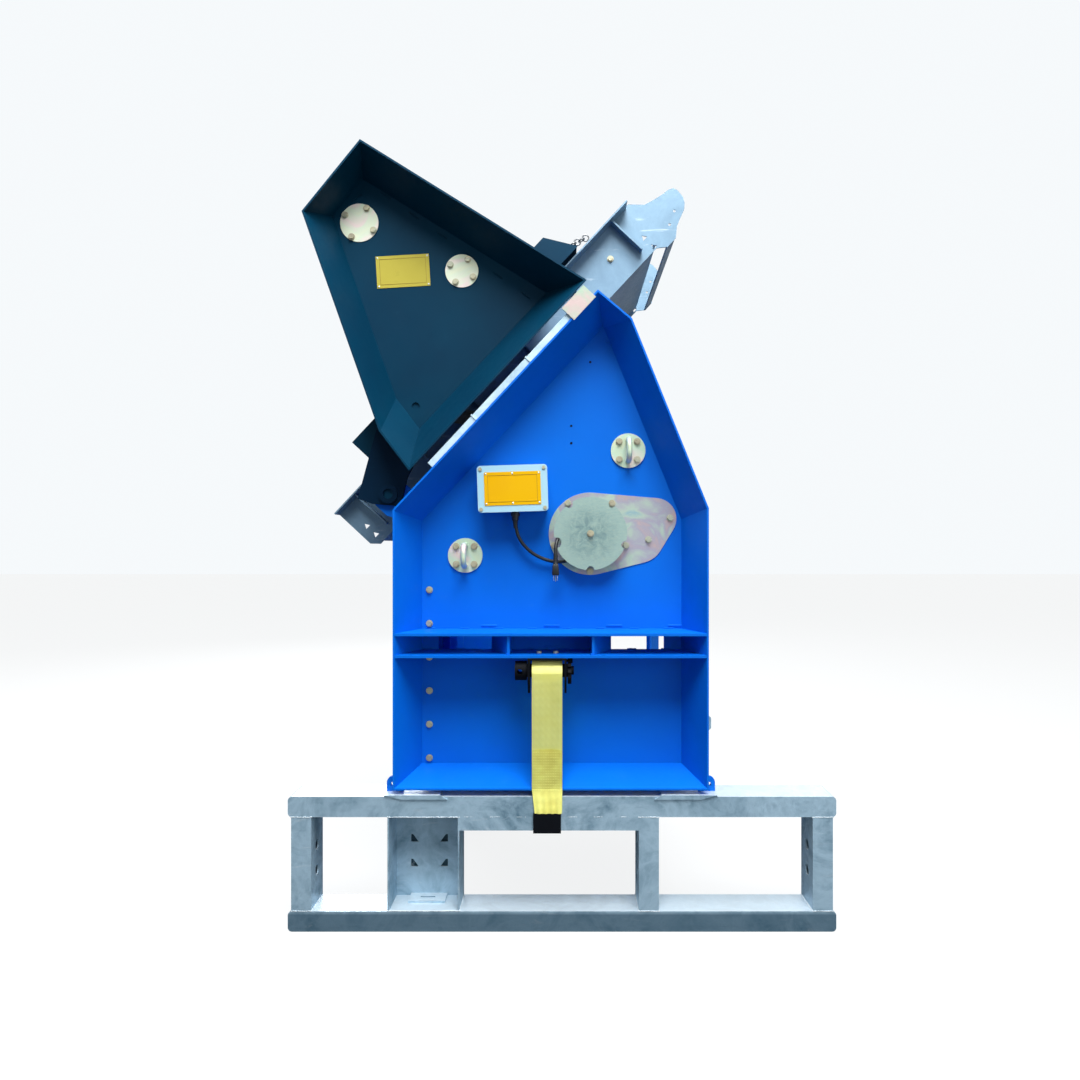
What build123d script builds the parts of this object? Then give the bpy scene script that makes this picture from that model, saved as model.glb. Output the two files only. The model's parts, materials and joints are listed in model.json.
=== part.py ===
from build123d import *
import math
import os

# ---------------------------------------------------------------------------
# Powered hooded chute on a skid.
# Frame: X along the skid, Y across the machine (-Y is the control side), Z up.
# The origin is at the bottom centre of the skid. Millimetres throughout.
# ---------------------------------------------------------------------------

# Overall sizes
skid_length = 1800.0
rear_frame_length = 1440.0
machine_width = 1300.0
skid_height = 443.0
gap_under_casing = 21.0
casing_left = -556.0
casing_width = 1038.0
wall_height = 921.0
slope_length = 988.0
slope_angle = 47.0
facet_run = 112.0
facet_drop = 94.0

# Casing sheet and rims
rim_depth = 150.0
sheet = 6.0
skin_sheet = 5.0
rim_sheet = 6.0
casing_insets = [64.0, 67.0, 40.0, 68.0, 61.0, 41.0]
ring_r = 11.0
wire_r = 2.5
link_step = 16.4
ring_count = 4
chain_u = 1152.0
chain_v = 199.5
foot_sheet = 6.0
foot_out = 28.0
foot_in = 155.0
lip_drop = 8.0
lip_near = 29.0
lip_far = 179.0
side_screw_top = 1113.0
side_screw_bottom = 529.0
side_screw_count = 6
side_screw_inset = 31.0
slot_from_u = 285.0
slot_to_u = 530.0
slot_width = 26.0
saddle_places = (150.0, 560.0, 900.0)
saddle_half = 20.0
bulkhead_left = -190.0
bulkhead_top = 1560.0
tie_places = (-150.0, 380.0)
tie_size = 50.0

# Skid sections
rail_height = 67.0
rail_depth = 122.0
post_width = 66.0
tube_wall = 5.0
rail_corner_r = 14.0
end_post_inset = 11.0
mid_post_x = 285.0
channel_centre_x = -455.0
channel_width = 236.0
channel_sheet = 5.0
cross_tube_height = 60.0
cross_tube_width = 60.0
stiffener_height = 44.0
stiffener_depth = 14.0
stiffener_left = -337.0
end_hole_r = 17.0
cut_spacing = 85.0

# Fork pockets
pocket_centre_x = -37.0
pocket_spacing = 300.0
pocket_width = 185.0
shelf_sheet = 9.0
lower_shelf_z = 902.0
shelf_pitch = 72.0
divider_offset = 140.0
divider_sheet = 8.0
window_width = 214.0
window_post = 17.0
window_bottom = 755.0
window_top = 860.0
wall_window_top = 922.0
wall_window_front = -30.0
wall_window_post = 50.0
wall_rib_depth = 40.0
wall_rib_sheet = 6.0

# Inclined chute, in the slope frame (u up the slope, v square to it)
chute_half_width = 370.0
chute_sheet = 5.0
chute_depth = 185.0
chute_flange = 65.0
chute_lower_end = -178.0
chute_upper_end = 1405.0
rib_pitch = 270.0
first_rib_u = -80.0
nose_hole_r = 5.0
bed_v = 12.0
chain_rise = math.radians(20)

# Hood, in the slope frame
hood_outline = [(130.0, 48.0), (986.0, 48.0), (816.0, 908.0), (513.0, 887.0), (158.0, 208.0)]
hood_insets = [99.0, 60.0, 8.0, 62.0, 96.0]
hood_sheet = 6.0
tunnel_half_width = 455.0
tunnel_top_v = 305.0
tunnel_bottom_v = 195.0
tunnel_end_v = 192.0
tunnel_lower_u = 53.0
tunnel_upper_u = 1044.0
hinge_u = 16.0
hinge_v = 70.0
pin_r = 17.0
pin_clearance = 0.05
boss_r = 33.0
arm_sheet = 12.0
arm_inner_y = 522.0
ear_sheet = 12.0
ear_gap = 2.0

# Lift linkage: crank, link, hood and casing make a parallelogram
shaft_x = 97.0
shaft_z = 1308.0
lug_u = 300.0
lug_v = 215.0
shaft_r = 25.0
crank_inner_y = 448.0
crank_sheet = 12.0
link_gap = 6.0
link_sheet = 12.0
link_half_height = 26.0
link_pin_r = 14.0
link_end_clearance = 0.5
bulkhead_y = 410.0
bulkhead_sheet = 8.0
bulkhead_foot_z = 990.0
bearing_r = 58.0
bearing_depth = 26.0

# Motor drive
motor_offset_x = 228.0
motor_offset_z = 52.0
chain_y = -370.0
chain_width = 14.0
big_sprocket_r = 105.0
big_teeth = 48
motor_teeth = 16
tooth_height = 7.0
chain_thickness = 12.0
motor_r = 70.0
motor_length = 220.0
gearbox_side = 160.0
gearbox_length = 120.0

# Drive cover and cord disc
cover_r = 143.0
cover_lobe_r = 72.0
cover_belly_r = 90.0
cover_belly_x = 265.0
cover_belly_z = 1296.0
cover_sheet = 3.0
cover_margin = 30.0
disc_r = 125.0
disc_sheet = 4.0
disc_bolt_r = 124.0
notch_r = 13.0
cord_gate_r = 24.0
cord_gate_angle = 198.0
hold_down_hole_r = 7.0
hood_bolt_turn = 62.0
upper_cover_place = (632.5, 793.1)
lower_cover_place = (753.2, 418.5)
sign_place = (613.6, 567.8)
hub_r = 52.0
hub_length = 48.0

# Control box and cord
box_centre_x = -166.0
box_centre_z = 1459.0
box_width = 236.0
box_height = 157.0
box_depth = 84.0
box_tilt = -1.8
lid_depth = 10.0
plate_width = 190.0
plate_height = 112.0
plate_sheet = 1.5
cord_r = 6.0
cord_gap = 1.0
coil_full_turns = 2
coil_start_angle = 270.0
coil_end_angle = 120.0
gland_drop = 26.0
gland_r = 12.0

# Lifting eyes
eye_plate_r = 60.0
eye_plate_sheet = 6.0
eye_bolt_circle_r = 44.0
eye_rod_r = 9.5
eye_height = 92.0
eye_reach = 52.0
near_eyes = [(-336.0, 1233.0), (229.5, 1596.5)]

# Winches and straps
strap_width = 100.0
strap_sheet = 3.0
strap_centre_x = -49.0
spool_r = 22.0
wrap_depth = 15.0
winch_plate_gap = 7.0
winch_plate_sheet = 7.0
winch_top_sheet = 6.0
winch_clearance = 2.0
winch_drop = spool_r + wrap_depth + winch_top_sheet + winch_clearance
winch_plate_depth = 84.0
strap_stand_off = 4.0
ratchet_r = 44.0
ratchet_teeth = 14
doubled_strap_top = 597.0
hook_width = 91.0
hook_sheet = 5.0

# Fasteners
bolt_r = 5.0
bolt_head_r = 9.5
bolt_head_height = 7.0

# ---------------------------------------------------------------------------
# Places worked out from the sizes above
# ---------------------------------------------------------------------------
rim_y = machine_width / 2
side_y = rim_y - rim_depth
inner_y = side_y - sheet
rail_in_y = rim_y - rail_depth
casing_bottom = skid_height + gap_under_casing
casing_right = casing_left + casing_width
shoulder_z = casing_bottom + wall_height
slope_cos = math.cos(math.radians(slope_angle))
slope_sin = math.sin(math.radians(slope_angle))
spindle = (casing_left, shoulder_z)
upper_shelf_z = lower_shelf_z + shelf_pitch
link_y = crank_inner_y + crank_sheet + link_gap


def slope(u, v):
    """The X and Z of a point u up the slope edge and v out from it."""
    return (
        spindle[0] + u * slope_cos - v * slope_sin,
        spindle[1] + u * slope_sin + v * slope_cos,
    )


def slope_points(points):
    return [slope(u, v) for u, v in points]


hinge = slope(hinge_u, hinge_v)
lug = slope(lug_u, lug_v)
crank_pin = (lug[0] + shaft_x - hinge[0], lug[1] + shaft_z - hinge[1])
motor = (shaft_x + motor_offset_x, shaft_z + motor_offset_z)
motor_sprocket_r = big_sprocket_r * motor_teeth / big_teeth


# ---------------------------------------------------------------------------
# Shape helpers
# ---------------------------------------------------------------------------
def prism(points, y_from, y_to):
    """A plate whose outline lies in XZ, from one Y to another."""
    corners = [Vector(x, y_from, z) for x, z in points]
    face = make_face(Polyline(*corners, close=True))
    return extrude(face, amount=y_to - y_from, dir=(0, 1, 0))


def rod(centre, radius, y_from, y_to):
    """A round bar along Y at (x, z)."""
    bar = Cylinder(radius, abs(y_to - y_from), rotation=(90, 0, 0))
    return Pos(centre[0], (y_from + y_to) / 2, centre[1]) * bar


def rod_x(radius, x_from, x_to, y, z):
    bar = Cylinder(radius, x_to - x_from, rotation=(0, 90, 0))
    return Pos((x_from + x_to) / 2, y, z) * bar


def rod_z(radius, x, y, z_from, z_to):
    return Pos(x, y, (z_from + z_to) / 2) * Cylinder(radius, z_to - z_from)


def block(x_from, x_to, y_from, y_to, z_from, z_to):
    centre = Pos((x_from + x_to) / 2, (y_from + y_to) / 2, (z_from + z_to) / 2)
    return centre * Box(x_to - x_from, abs(y_to - y_from), z_to - z_from)


def hex_head(centre, y_face, outward, radius=bolt_head_r, height=bolt_head_height):
    """A hex bolt head and its washer on a face that looks along -Y or +Y."""
    ring = [
        (centre[0] + radius * math.cos(math.radians(60 * i)),
         centre[1] + radius * math.sin(math.radians(60 * i)))
        for i in range(6)
    ]
    washer = rod(centre, radius * 1.25, y_face, y_face + outward * 2.0)
    head = prism(ring, y_face + outward * 2.0, y_face + outward * (2.0 + height))
    return washer + head


def polar(centre, radius, degrees):
    angle = math.radians(degrees)
    return (centre[0] + radius * math.cos(angle), centre[1] + radius * math.sin(angle))


def inset(points, distances):
    """The outline moved inwards, one distance for each edge; edge i runs from point i."""
    lines = []
    count = len(points)
    area = sum(
        points[i][0] * points[(i + 1) % count][1] - points[(i + 1) % count][0] * points[i][1]
        for i in range(count)
    )
    turn = 1.0 if area > 0 else -1.0
    for i, distance in enumerate(distances):
        (x0, z0), (x1, z1) = points[i], points[(i + 1) % count]
        length = math.hypot(x1 - x0, z1 - z0)
        dx, dz = (x1 - x0) / length, (z1 - z0) / length
        lines.append((x0 - turn * dz * distance, z0 + turn * dx * distance, dx, dz))
    corners = []
    for i in range(count):
        x0, z0, dx0, dz0 = lines[i - 1]
        x1, z1, dx1, dz1 = lines[i]
        reach = ((x1 - x0) * dz1 - (z1 - z0) * dx1) / (dx0 * dz1 - dz0 * dx1)
        corners.append((x0 + dx0 * reach, z0 + dz0 * reach))
    return corners


def funnel(front, back, side):
    """The solid between an outline at the rim and an outline at the side plate."""
    at_rim = make_face(Polyline(*[Vector(x, side * rim_y, z) for x, z in front], close=True))
    at_plate = make_face(Polyline(*[Vector(x, side * side_y, z) for x, z in back], close=True))
    return loft([at_rim, at_plate], ruled=True)


def belt(centre_a, radius_a, centre_b, radius_b, y_from, y_to):
    """The plate round two circles and the straight tangents between them."""
    span = math.hypot(centre_b[0] - centre_a[0], centre_b[1] - centre_a[1])
    heading = math.atan2(centre_b[1] - centre_a[1], centre_b[0] - centre_a[0])
    lean = math.acos((radius_a - radius_b) / span)
    corners = [
        polar(centre_a, radius_a, math.degrees(heading + lean)),
        polar(centre_b, radius_b, math.degrees(heading + lean)),
        polar(centre_b, radius_b, math.degrees(heading - lean)),
        polar(centre_a, radius_a, math.degrees(heading - lean)),
    ]
    return (
        prism(corners, y_from, y_to)
        + rod(centre_a, radius_a, y_from, y_to)
        + rod(centre_b, radius_b, y_from, y_to)
    )


def mirrored(shape):
    return mirror(shape, about=Plane.XZ)


def both_sides(shapes):
    return list(shapes) + [mirrored(s) for s in shapes]


def save(name, shapes):
    """Writes one node; several shapes stay separate solids of that node."""
    solids = [s for shape in shapes for s in shape.solids()]
    part = solids[0] if len(solids) == 1 else Compound(solids)
    export_step(part, f"parts/{name}.step")
    return part


# ---------------------------------------------------------------------------
# Outlines
# ---------------------------------------------------------------------------
apex = slope(slope_length, 0)
casing_rim = [
    (casing_left, casing_bottom),
    (casing_left, shoulder_z),
    apex,
    (apex[0] + facet_run, apex[1] - facet_drop),
    (casing_right, shoulder_z + 5),
    (casing_right, casing_bottom),
]
casing_plate = inset(casing_rim, casing_insets)
hood_rim = slope_points(hood_outline)
hood_plate = inset(hood_rim, hood_insets)
casing_floor_z = casing_plate[0][1]


# ---------------------------------------------------------------------------
# Skid
# ---------------------------------------------------------------------------
def box_tube(x_from, x_to, y_from, y_to, z_from, z_to):
    """An upright rectangular tube with open ends."""
    outer = block(x_from, x_to, y_from, y_to, z_from, z_to)
    inner = block(x_from + tube_wall, x_to - tube_wall, y_from + tube_wall, y_to - tube_wall,
                  z_from - 1, z_to + 1)
    return outer - inner


def ladder_frame(length):
    """The rails, posts, channel and stiffener bar of one side frame, on the near side."""
    half = length / 2
    back_y = -rail_in_y
    post_top = skid_height - rail_height
    rails = []
    for z_from in (post_top, 0):
        bar = block(-half, half, -rim_y, back_y, z_from, z_from + rail_height)
        bar = fillet(bar.edges().filter_by(Axis.Y), rail_corner_r)
        hollow = block(
            -half + tube_wall, half - tube_wall, -rim_y + tube_wall, back_y - tube_wall,
            z_from + tube_wall, z_from + rail_height - tube_wall,
        )
        rails.append(bar - hollow)

    posts = []
    end_left = -half + end_post_inset
    end_right = half - end_post_inset - post_width
    for x_from in (end_left, end_right):
        post = box_tube(x_from, x_from + post_width, -rim_y, back_y, rail_height, post_top)
        for step in (-0.5, 0.5):
            z = (rail_height + post_top) / 2 + step * cut_spacing
            post -= rod_x(end_hole_r, x_from - 1, x_from + post_width + 1, -rim_y + rail_depth / 2, z)
        posts.append(post)
    middle = mid_post_x - post_width / 2
    posts.append(box_tube(middle, middle + post_width, -rim_y, back_y, rail_height, post_top))

    left = channel_centre_x - channel_width / 2
    right = channel_centre_x + channel_width / 2
    channel = block(left, right, back_y - channel_sheet, back_y, rail_height, post_top)
    channel += block(left, left + channel_sheet, -rim_y, back_y, rail_height, post_top)
    channel += block(right - channel_sheet, right, -rim_y, back_y, rail_height, post_top)
    for row in range(3):
        z = post_top - 28 - row * cut_spacing
        for side, x in ((1, left + 55), (-1, right - 55)):
            notch = [(x, z - 13), (x + side * 26, z - 13), (x + side * 7, z + 13), (x, z + 13)]
            channel -= prism(notch, back_y - channel_sheet - 1, back_y + 1)
    tab_back = back_y - channel_sheet
    tab = block(channel_centre_x - 62, channel_centre_x + 62, tab_back - 60, tab_back,
                rail_height, rail_height + 8)
    tab -= block(channel_centre_x - 25, channel_centre_x + 25, tab_back - 34, tab_back - 26,
                 rail_height - 1, rail_height + 9)
    bar = block(stiffener_left, middle, -rim_y, -rim_y + stiffener_depth,
                post_top - stiffener_height, post_top)
    return rails, posts, channel + tab, bar


def skid_parts():
    near_rails, near_posts, near_channel, near_bar = ladder_frame(skid_length)
    rails, posts, channel, bar = ladder_frame(rear_frame_length)
    save("skid_top_rails", [near_rails[0], mirrored(rails[0])])
    save("skid_bottom_rails", [near_rails[1], mirrored(rails[1])])
    save("skid_posts", near_posts + [mirrored(post) for post in posts])
    save("skid_channel_posts", [near_channel, mirrored(channel)])
    save("skid_stiffener_bars", [near_bar, mirrored(bar)])
    tubes = []
    for x in (channel_centre_x, (channel_centre_x + mid_post_x) / 2, mid_post_x):
        outer = block(x - cross_tube_width / 2, x + cross_tube_width / 2, -rail_in_y, rail_in_y,
                      skid_height - cross_tube_height, skid_height)
        hollow = block(x - cross_tube_width / 2 + tube_wall, x + cross_tube_width / 2 - tube_wall,
                       -rail_in_y - 1, rail_in_y + 1,
                       skid_height - cross_tube_height + tube_wall, skid_height - tube_wall)
        tubes.append(outer - hollow)
    save("skid_cross_tubes", tubes)


# ---------------------------------------------------------------------------
# Casing
# ---------------------------------------------------------------------------
def pocket_openings():
    """The two fork openings, cut through a side plate."""
    z_from = lower_shelf_z + shelf_sheet / 2
    z_to = upper_shelf_z - shelf_sheet / 2
    cuts = []
    for side in (-1, 1):
        middle = pocket_centre_x + side * pocket_spacing
        left, right = middle - pocket_width / 2, middle + pocket_width / 2
        cuts.append(block(left, right, -rim_y, -inner_y + 1, z_from, z_to))
    return cuts


def drive_opening():
    shaft_end, motor_end = cover_r - cover_margin, cover_lobe_r - cover_margin
    return belt((shaft_x, shaft_z), shaft_end, motor, motor_end, -rim_y, -inner_y + 1)


def side_screw_places():
    """The column of screws that holds the inner wall bracket to the side plate."""
    pitch = (side_screw_top - side_screw_bottom) / (side_screw_count - 1)
    x = casing_plate[0][0] + side_screw_inset
    return [(x, side_screw_top - pitch * i) for i in range(side_screw_count)]


def casing_parts():
    plate = prism(casing_plate, -side_y, -inner_y)
    for cut in pocket_openings():
        plate -= cut
    plate -= drive_opening()
    save("casing_side_near", [plate])

    far = prism(casing_plate, -side_y, -inner_y)
    for cut in pocket_openings():
        far -= cut
    window_right = casing_plate[4][0] - window_post
    window = block(window_right - window_width, window_right, -rim_y, -inner_y + 1, window_bottom, window_top)
    far -= fillet(window.edges().filter_by(Axis.Y), 15)
    save("casing_side_far", [mirrored(far)])

    outer = funnel(casing_rim, casing_plate, -1)
    inner = funnel(inset(casing_rim, [rim_sheet] * 6), inset(casing_plate, [rim_sheet] * 6), -1)
    rim = outer - inner
    save("casing_rim_near", [rim])
    save("casing_rim_far", [mirrored(rim)])

    inside = inset(casing_plate, [skin_sheet] * 6)
    skins = []
    for i in (0, 2, 3, 4, 5):
        j = (i + 1) % 6
        skin = prism([casing_plate[i], casing_plate[j], inside[j], inside[i]], -inner_y, inner_y)
        if i == 0:
            for rib_y in (-300, -100, 100, 300):
                skin += block(inside[0][0] - 1, inside[0][0] + wall_rib_depth, rib_y - wall_rib_sheet / 2,
                              rib_y + wall_rib_sheet / 2, casing_floor_z + 40, shoulder_z - 60)
        if i == 4:
            opening = block(inside[4][0] - 1, casing_plate[4][0] + 1, wall_window_front,
                            inner_y - wall_window_post, window_bottom, wall_window_top)
            skin -= fillet(opening.edges().filter_by(Axis.X), 15)
        skins.append(skin)
    save("casing_skins", skins)

    deck = prism([casing_plate[1], casing_plate[2], inside[2], inside[1]], -inner_y, inner_y)
    slot_from, slot_to = slope(slot_from_u, -20), slope(slot_to_u, -20)
    far_from, far_to = slope(slot_from_u, -120), slope(slot_to_u, -120)
    for side in (-1, 1):
        slot_y = side * (link_y + link_sheet / 2)
        deck -= prism([slot_from, slot_to, far_to, far_from], slot_y - slot_width / 2, slot_y + slot_width / 2)
    foot = -casing_insets[1]
    for u in saddle_places:
        left, right = u - saddle_half, u + saddle_half
        saddle = slope_points([(left, foot), (right, foot), (right, 0), (left, 0)])
        deck += prism(saddle, -chute_half_width, chute_half_width)
    save("slope_deck", [deck])

    room = funnel(inset(casing_rim, [rim_sheet + 0.1] * 6), inset(casing_plate, [rim_sheet + 0.1] * 6), -1)
    shelves = []
    for z in (lower_shelf_z, upper_shelf_z):
        shelf = block(casing_left, casing_right, -rim_y + 1, -side_y, z - shelf_sheet / 2, z + shelf_sheet / 2)
        shelves.append(shelf & room)
    dividers = []
    z_from = lower_shelf_z + shelf_sheet / 2
    z_to = upper_shelf_z - shelf_sheet / 2
    front = -rim_y + 12
    for side in (-1, 1):
        x = pocket_centre_x + side * divider_offset
        dividers.append(block(x - divider_sheet / 2, x + divider_sheet / 2, front, -side_y, z_from, z_to))
        edge = x + side * divider_sheet / 2
        mouth = pocket_centre_x + side * (pocket_spacing - pocket_width / 2)
        guide = [(edge, front), (edge, front + 10), (mouth - side * 9, -side_y), (mouth, -side_y)]
        corners = [Vector(gx, gy, z_from) for gx, gy in guide]
        dividers.append(extrude(make_face(Polyline(*corners, close=True)), amount=z_to - z_from, dir=(0, 0, 1)))
    save("fork_pockets", both_sides(shelves + dividers))

    heads = [hex_head(place, -side_y, -1) for place in side_screw_places()]
    side_screws = both_sides(heads)

    flare = funnel(casing_rim, casing_plate, -1)
    ear_y = arm_inner_y - ear_gap
    ear_outline = slope_points([(-44, hinge_v), (-44, 25), (0, -64), (95, -64), (76, hinge_v)])
    ear = prism(ear_outline, -ear_y, -ear_y + ear_sheet)
    ear += rod(hinge, 60, -ear_y, -ear_y + ear_sheet)
    ear -= flare
    ear = max(ear.solids(), key=lambda s: s.volume)
    ear = ear - rod(hinge, pin_r + pin_clearance, -rim_y, 0)
    save("hinge_ears", both_sides([ear]))

    foot_z = casing_bottom
    feet, lugs = [], []
    for side_x, lug_x, lean in ((casing_left, casing_left - 2, 1), (casing_right, casing_right + 2, -1)):
        left, right = sorted((side_x - lean * foot_out, side_x + lean * foot_in))
        lip_from, lip_to = sorted((side_x + lean * lip_near, side_x + lean * lip_far))
        feet.append(block(left, right, -rim_y, -rim_y + rail_depth, skid_height, skid_height + foot_sheet))
        lip_top, lip_bottom = skid_height + foot_sheet, skid_height - lip_drop
        lip = [(left, lip_top), (right, lip_top), (lip_to, lip_bottom), (lip_from, lip_bottom)]
        feet.append(prism(lip, -rim_y - 5, -rim_y))
        inside_x = lug_x + lean * 30
        outside_x = lug_x - lean * 26
        lug_plate = block(min(inside_x, outside_x), max(inside_x, outside_x), -rim_y + 40, -rim_y + 52,
                          skid_height + 6, foot_z + 34)
        outer_edges = lug_plate.edges().filter_by(Axis.Y).sort_by(Axis.Z)[-2:]
        lug_plate = fillet(outer_edges, 20)
        lug_plate -= rod((outside_x + lean * 20, foot_z + 8), hold_down_hole_r, -rim_y, 0)
        lug_plate -= funnel(casing_rim, casing_plate, -1)
        lugs.append(max(lug_plate.solids(), key=lambda s: s.volume))
    save("foot_plates", both_sides(feet))
    save("hold_down_lugs", both_sides(lugs))

    bulk_top = inset(casing_plate, [skin_sheet] * 6)
    clipped = prism(bulk_top, -bulkhead_y - bulkhead_sheet, -bulkhead_y) & block(
        casing_left, casing_right, -rim_y, 0, bulkhead_foot_z, bulkhead_top)
    clipped -= block(casing_left, bulkhead_left, -rim_y, 0, bulkhead_foot_z, bulkhead_top + tie_size)
    clipped -= rod((shaft_x, shaft_z), shaft_r + 6, -rim_y, 0)
    half_tie = tie_size / 2
    ties = [
        block(x - half_tie, x + half_tie, -bulkhead_y, bulkhead_y, bulkhead_foot_z, bulkhead_foot_z + tie_size)
        for x in tie_places
    ]
    save("shaft_bulkheads", both_sides([clipped]) + ties)
    return side_screws


# ---------------------------------------------------------------------------
# Lifting eyes
# ---------------------------------------------------------------------------
def u_bolt(centre):
    """An upright U-bolt standing out of its plate along -Y."""
    half = eye_height / 2 - eye_rod_r
    base_y = -side_y - eye_plate_sheet
    x, z = centre
    bend = eye_reach * 0.55
    path = FilletPolyline(
        (x, base_y, z - half), (x, base_y - eye_reach, z - half),
        (x, base_y - eye_reach, z + half), (x, base_y, z + half),
        radius=bend,
    )
    section = Plane(origin=(x, base_y, z - half), z_dir=(0, -1, 0)) * Circle(eye_rod_r)
    return sweep(section, path=path)


def eye_parts():
    plates, rods, nuts = [], [], []
    for centre in near_eyes:
        plates.append(rod(centre, eye_plate_r, -side_y, -side_y - eye_plate_sheet))
        rods.append(u_bolt(centre))
        for i in range(4):
            place = polar(centre, eye_bolt_circle_r, 45 + 90 * i)
            nuts.append(hex_head(place, -side_y - eye_plate_sheet, -1))
    save("eye_plates", both_sides(plates))
    save("eye_u_bolts", both_sides(rods))
    return both_sides(nuts)


# ---------------------------------------------------------------------------
# Drive
# ---------------------------------------------------------------------------
def toothed_wheel(centre, radius, teeth, y_from, y_to, bore):
    """A chain sprocket with rounded-down teeth."""
    rim = []
    for i in range(teeth):
        start = 360.0 * i / teeth
        step = 360.0 / teeth
        rim.append(polar(centre, radius - tooth_height / 2, start))
        rim.append(polar(centre, radius + tooth_height / 2, start + step * 0.35))
        rim.append(polar(centre, radius + tooth_height / 2, start + step * 0.5))
        rim.append(polar(centre, radius - tooth_height / 2, start + step * 0.85))
    return prism(rim, y_from, y_to) - rod(centre, bore, y_from - 1, y_to + 1)


def drive_parts():
    centre = (shaft_x, shaft_z)
    crank_y = crank_inner_y + crank_sheet
    shaft = rod(centre, shaft_r, -crank_y, crank_y)
    cranks = []
    for side in (-1, 1):
        crank = belt(centre, 48, crank_pin, 32, side * crank_inner_y, side * crank_y)
        pin = rod(crank_pin, link_pin_r, side * crank_inner_y, side * (link_y + link_sheet + 3))
        cranks.append(crank - rod(centre, shaft_r, -rim_y, rim_y) + pin)
    save("main_shaft", [shaft])
    save("lift_cranks", cranks)

    links, lug_pins, bearings = [], [], []
    for side in (-1, 1):
        face = side * (link_y + link_sheet)
        link = belt(lug, link_half_height, crank_pin, link_half_height + 0.5, side * link_y, face)
        link -= rod(lug, link_pin_r + pin_clearance, -rim_y, rim_y)
        link -= rod(crank_pin, link_pin_r + link_end_clearance, -rim_y, rim_y)
        links.append(link)
        lug_pins.append(rod(lug, link_pin_r, side * (link_y - 3), side * (side_y - hood_sheet)))
        bearing = rod(centre, bearing_r, side * bulkhead_y, side * (bulkhead_y - bearing_depth))
        bearings.append(bearing - rod(centre, shaft_r + pin_clearance, -rim_y, rim_y))
    save("lift_links", links)
    save("shaft_bearings", bearings)

    chain_back = chain_y - chain_width / 2
    chain_front = chain_y + chain_width / 2
    wheel = toothed_wheel(centre, big_sprocket_r - tooth_height, big_teeth, chain_back + 3, chain_front - 3, shaft_r)
    save("shaft_sprocket", [wheel])
    small = toothed_wheel(motor, motor_sprocket_r - tooth_height, motor_teeth, chain_back + 3, chain_front - 3, 12)
    motor_shaft = rod(motor, 12, chain_back - 6, chain_front + 20)
    save("motor_sprocket", [small + motor_shaft])
    loop = belt(centre, big_sprocket_r + chain_thickness / 2, motor, motor_sprocket_r + chain_thickness / 2,
                chain_back, chain_front)
    loop -= belt(centre, big_sprocket_r - chain_thickness / 2 + 4, motor,
                 motor_sprocket_r - chain_thickness / 2 + 4, chain_back - 1, chain_front + 1)
    save("drive_chain", [loop])

    gear_y = chain_front + 22
    gearbox = block(motor[0] - gearbox_side / 2 + 20, motor[0] + gearbox_side / 2 - 60, gear_y,
                    gear_y + gearbox_length, motor[1] - gearbox_side / 2, motor[1] + gearbox_side / 2)
    gearbox = fillet(gearbox.edges().filter_by(Axis.Y), 12)
    motor_from = gear_y + gearbox_length
    gearbox += rod((motor[0] - 10, motor[1]), motor_r - 8, motor_from, motor_from + motor_length)
    gearbox -= rod(motor, 12 + pin_clearance, gear_y - 1, gear_y + 30)
    save("gearmotor", [gearbox])

    belly = (cover_belly_x, cover_belly_z)
    cover = belt(centre, cover_r, motor, cover_lobe_r, -side_y, -side_y - cover_sheet)
    cover += belt(centre, cover_r, belly, cover_belly_r, -side_y, -side_y - cover_sheet)
    cover += belt(belly, cover_belly_r, motor, cover_lobe_r, -side_y, -side_y - cover_sheet)
    far_cover = rod(centre, cover_r - cover_margin, side_y, side_y + cover_sheet)
    save("drive_covers", [cover, far_cover])

    hub_from = -side_y - cover_sheet
    hub = rod(centre, hub_r, hub_from, hub_from - hub_length)
    save("disc_hub", [hub])
    disc = rod(centre, disc_r, hub_from - hub_length, hub_from - hub_length - disc_sheet)
    for i in range(5):
        place = polar(centre, disc_bolt_r, -90 + 72 * i)
        disc -= rod(place, notch_r, -rim_y, 0)
    gate_x, gate_z = polar(centre, disc_bolt_r, cord_gate_angle)
    disc -= rod((gate_x + 2, gate_z + 8), cord_gate_r, -rim_y, 0)
    save("cord_disc", [disc])

    heads = [hex_head(polar(centre, disc_bolt_r + 7, -90 + 72 * i), hub_from, -1) for i in range(5)]
    heads.append(hex_head((motor[0] + 50, motor[1] + 3), hub_from, -1))
    heads.append(hex_head((motor[0] - 25, motor[1] - 72), hub_from, -1))
    heads.append(hex_head(centre, hub_from - hub_length - disc_sheet, -1))
    heads += [hex_head(polar(centre, cover_r - 45, 45 + 90 * i), side_y + cover_sheet, 1) for i in range(4)]
    return heads, lug_pins


# ---------------------------------------------------------------------------
# Control box, cord and plug
# ---------------------------------------------------------------------------
def tilted(shape):
    """Turns a piece about the box's centre by the box's small tilt."""
    pivot = Pos(box_centre_x, 0, box_centre_z)
    return pivot * Rot(0, box_tilt, 0) * pivot.inverse() * shape


def round_box(width, height, y_from, y_to, radius):
    body = block(box_centre_x - width / 2, box_centre_x + width / 2, y_from, y_to,
                 box_centre_z - height / 2, box_centre_z + height / 2)
    return fillet(body.edges().filter_by(Axis.Y), radius)


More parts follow.
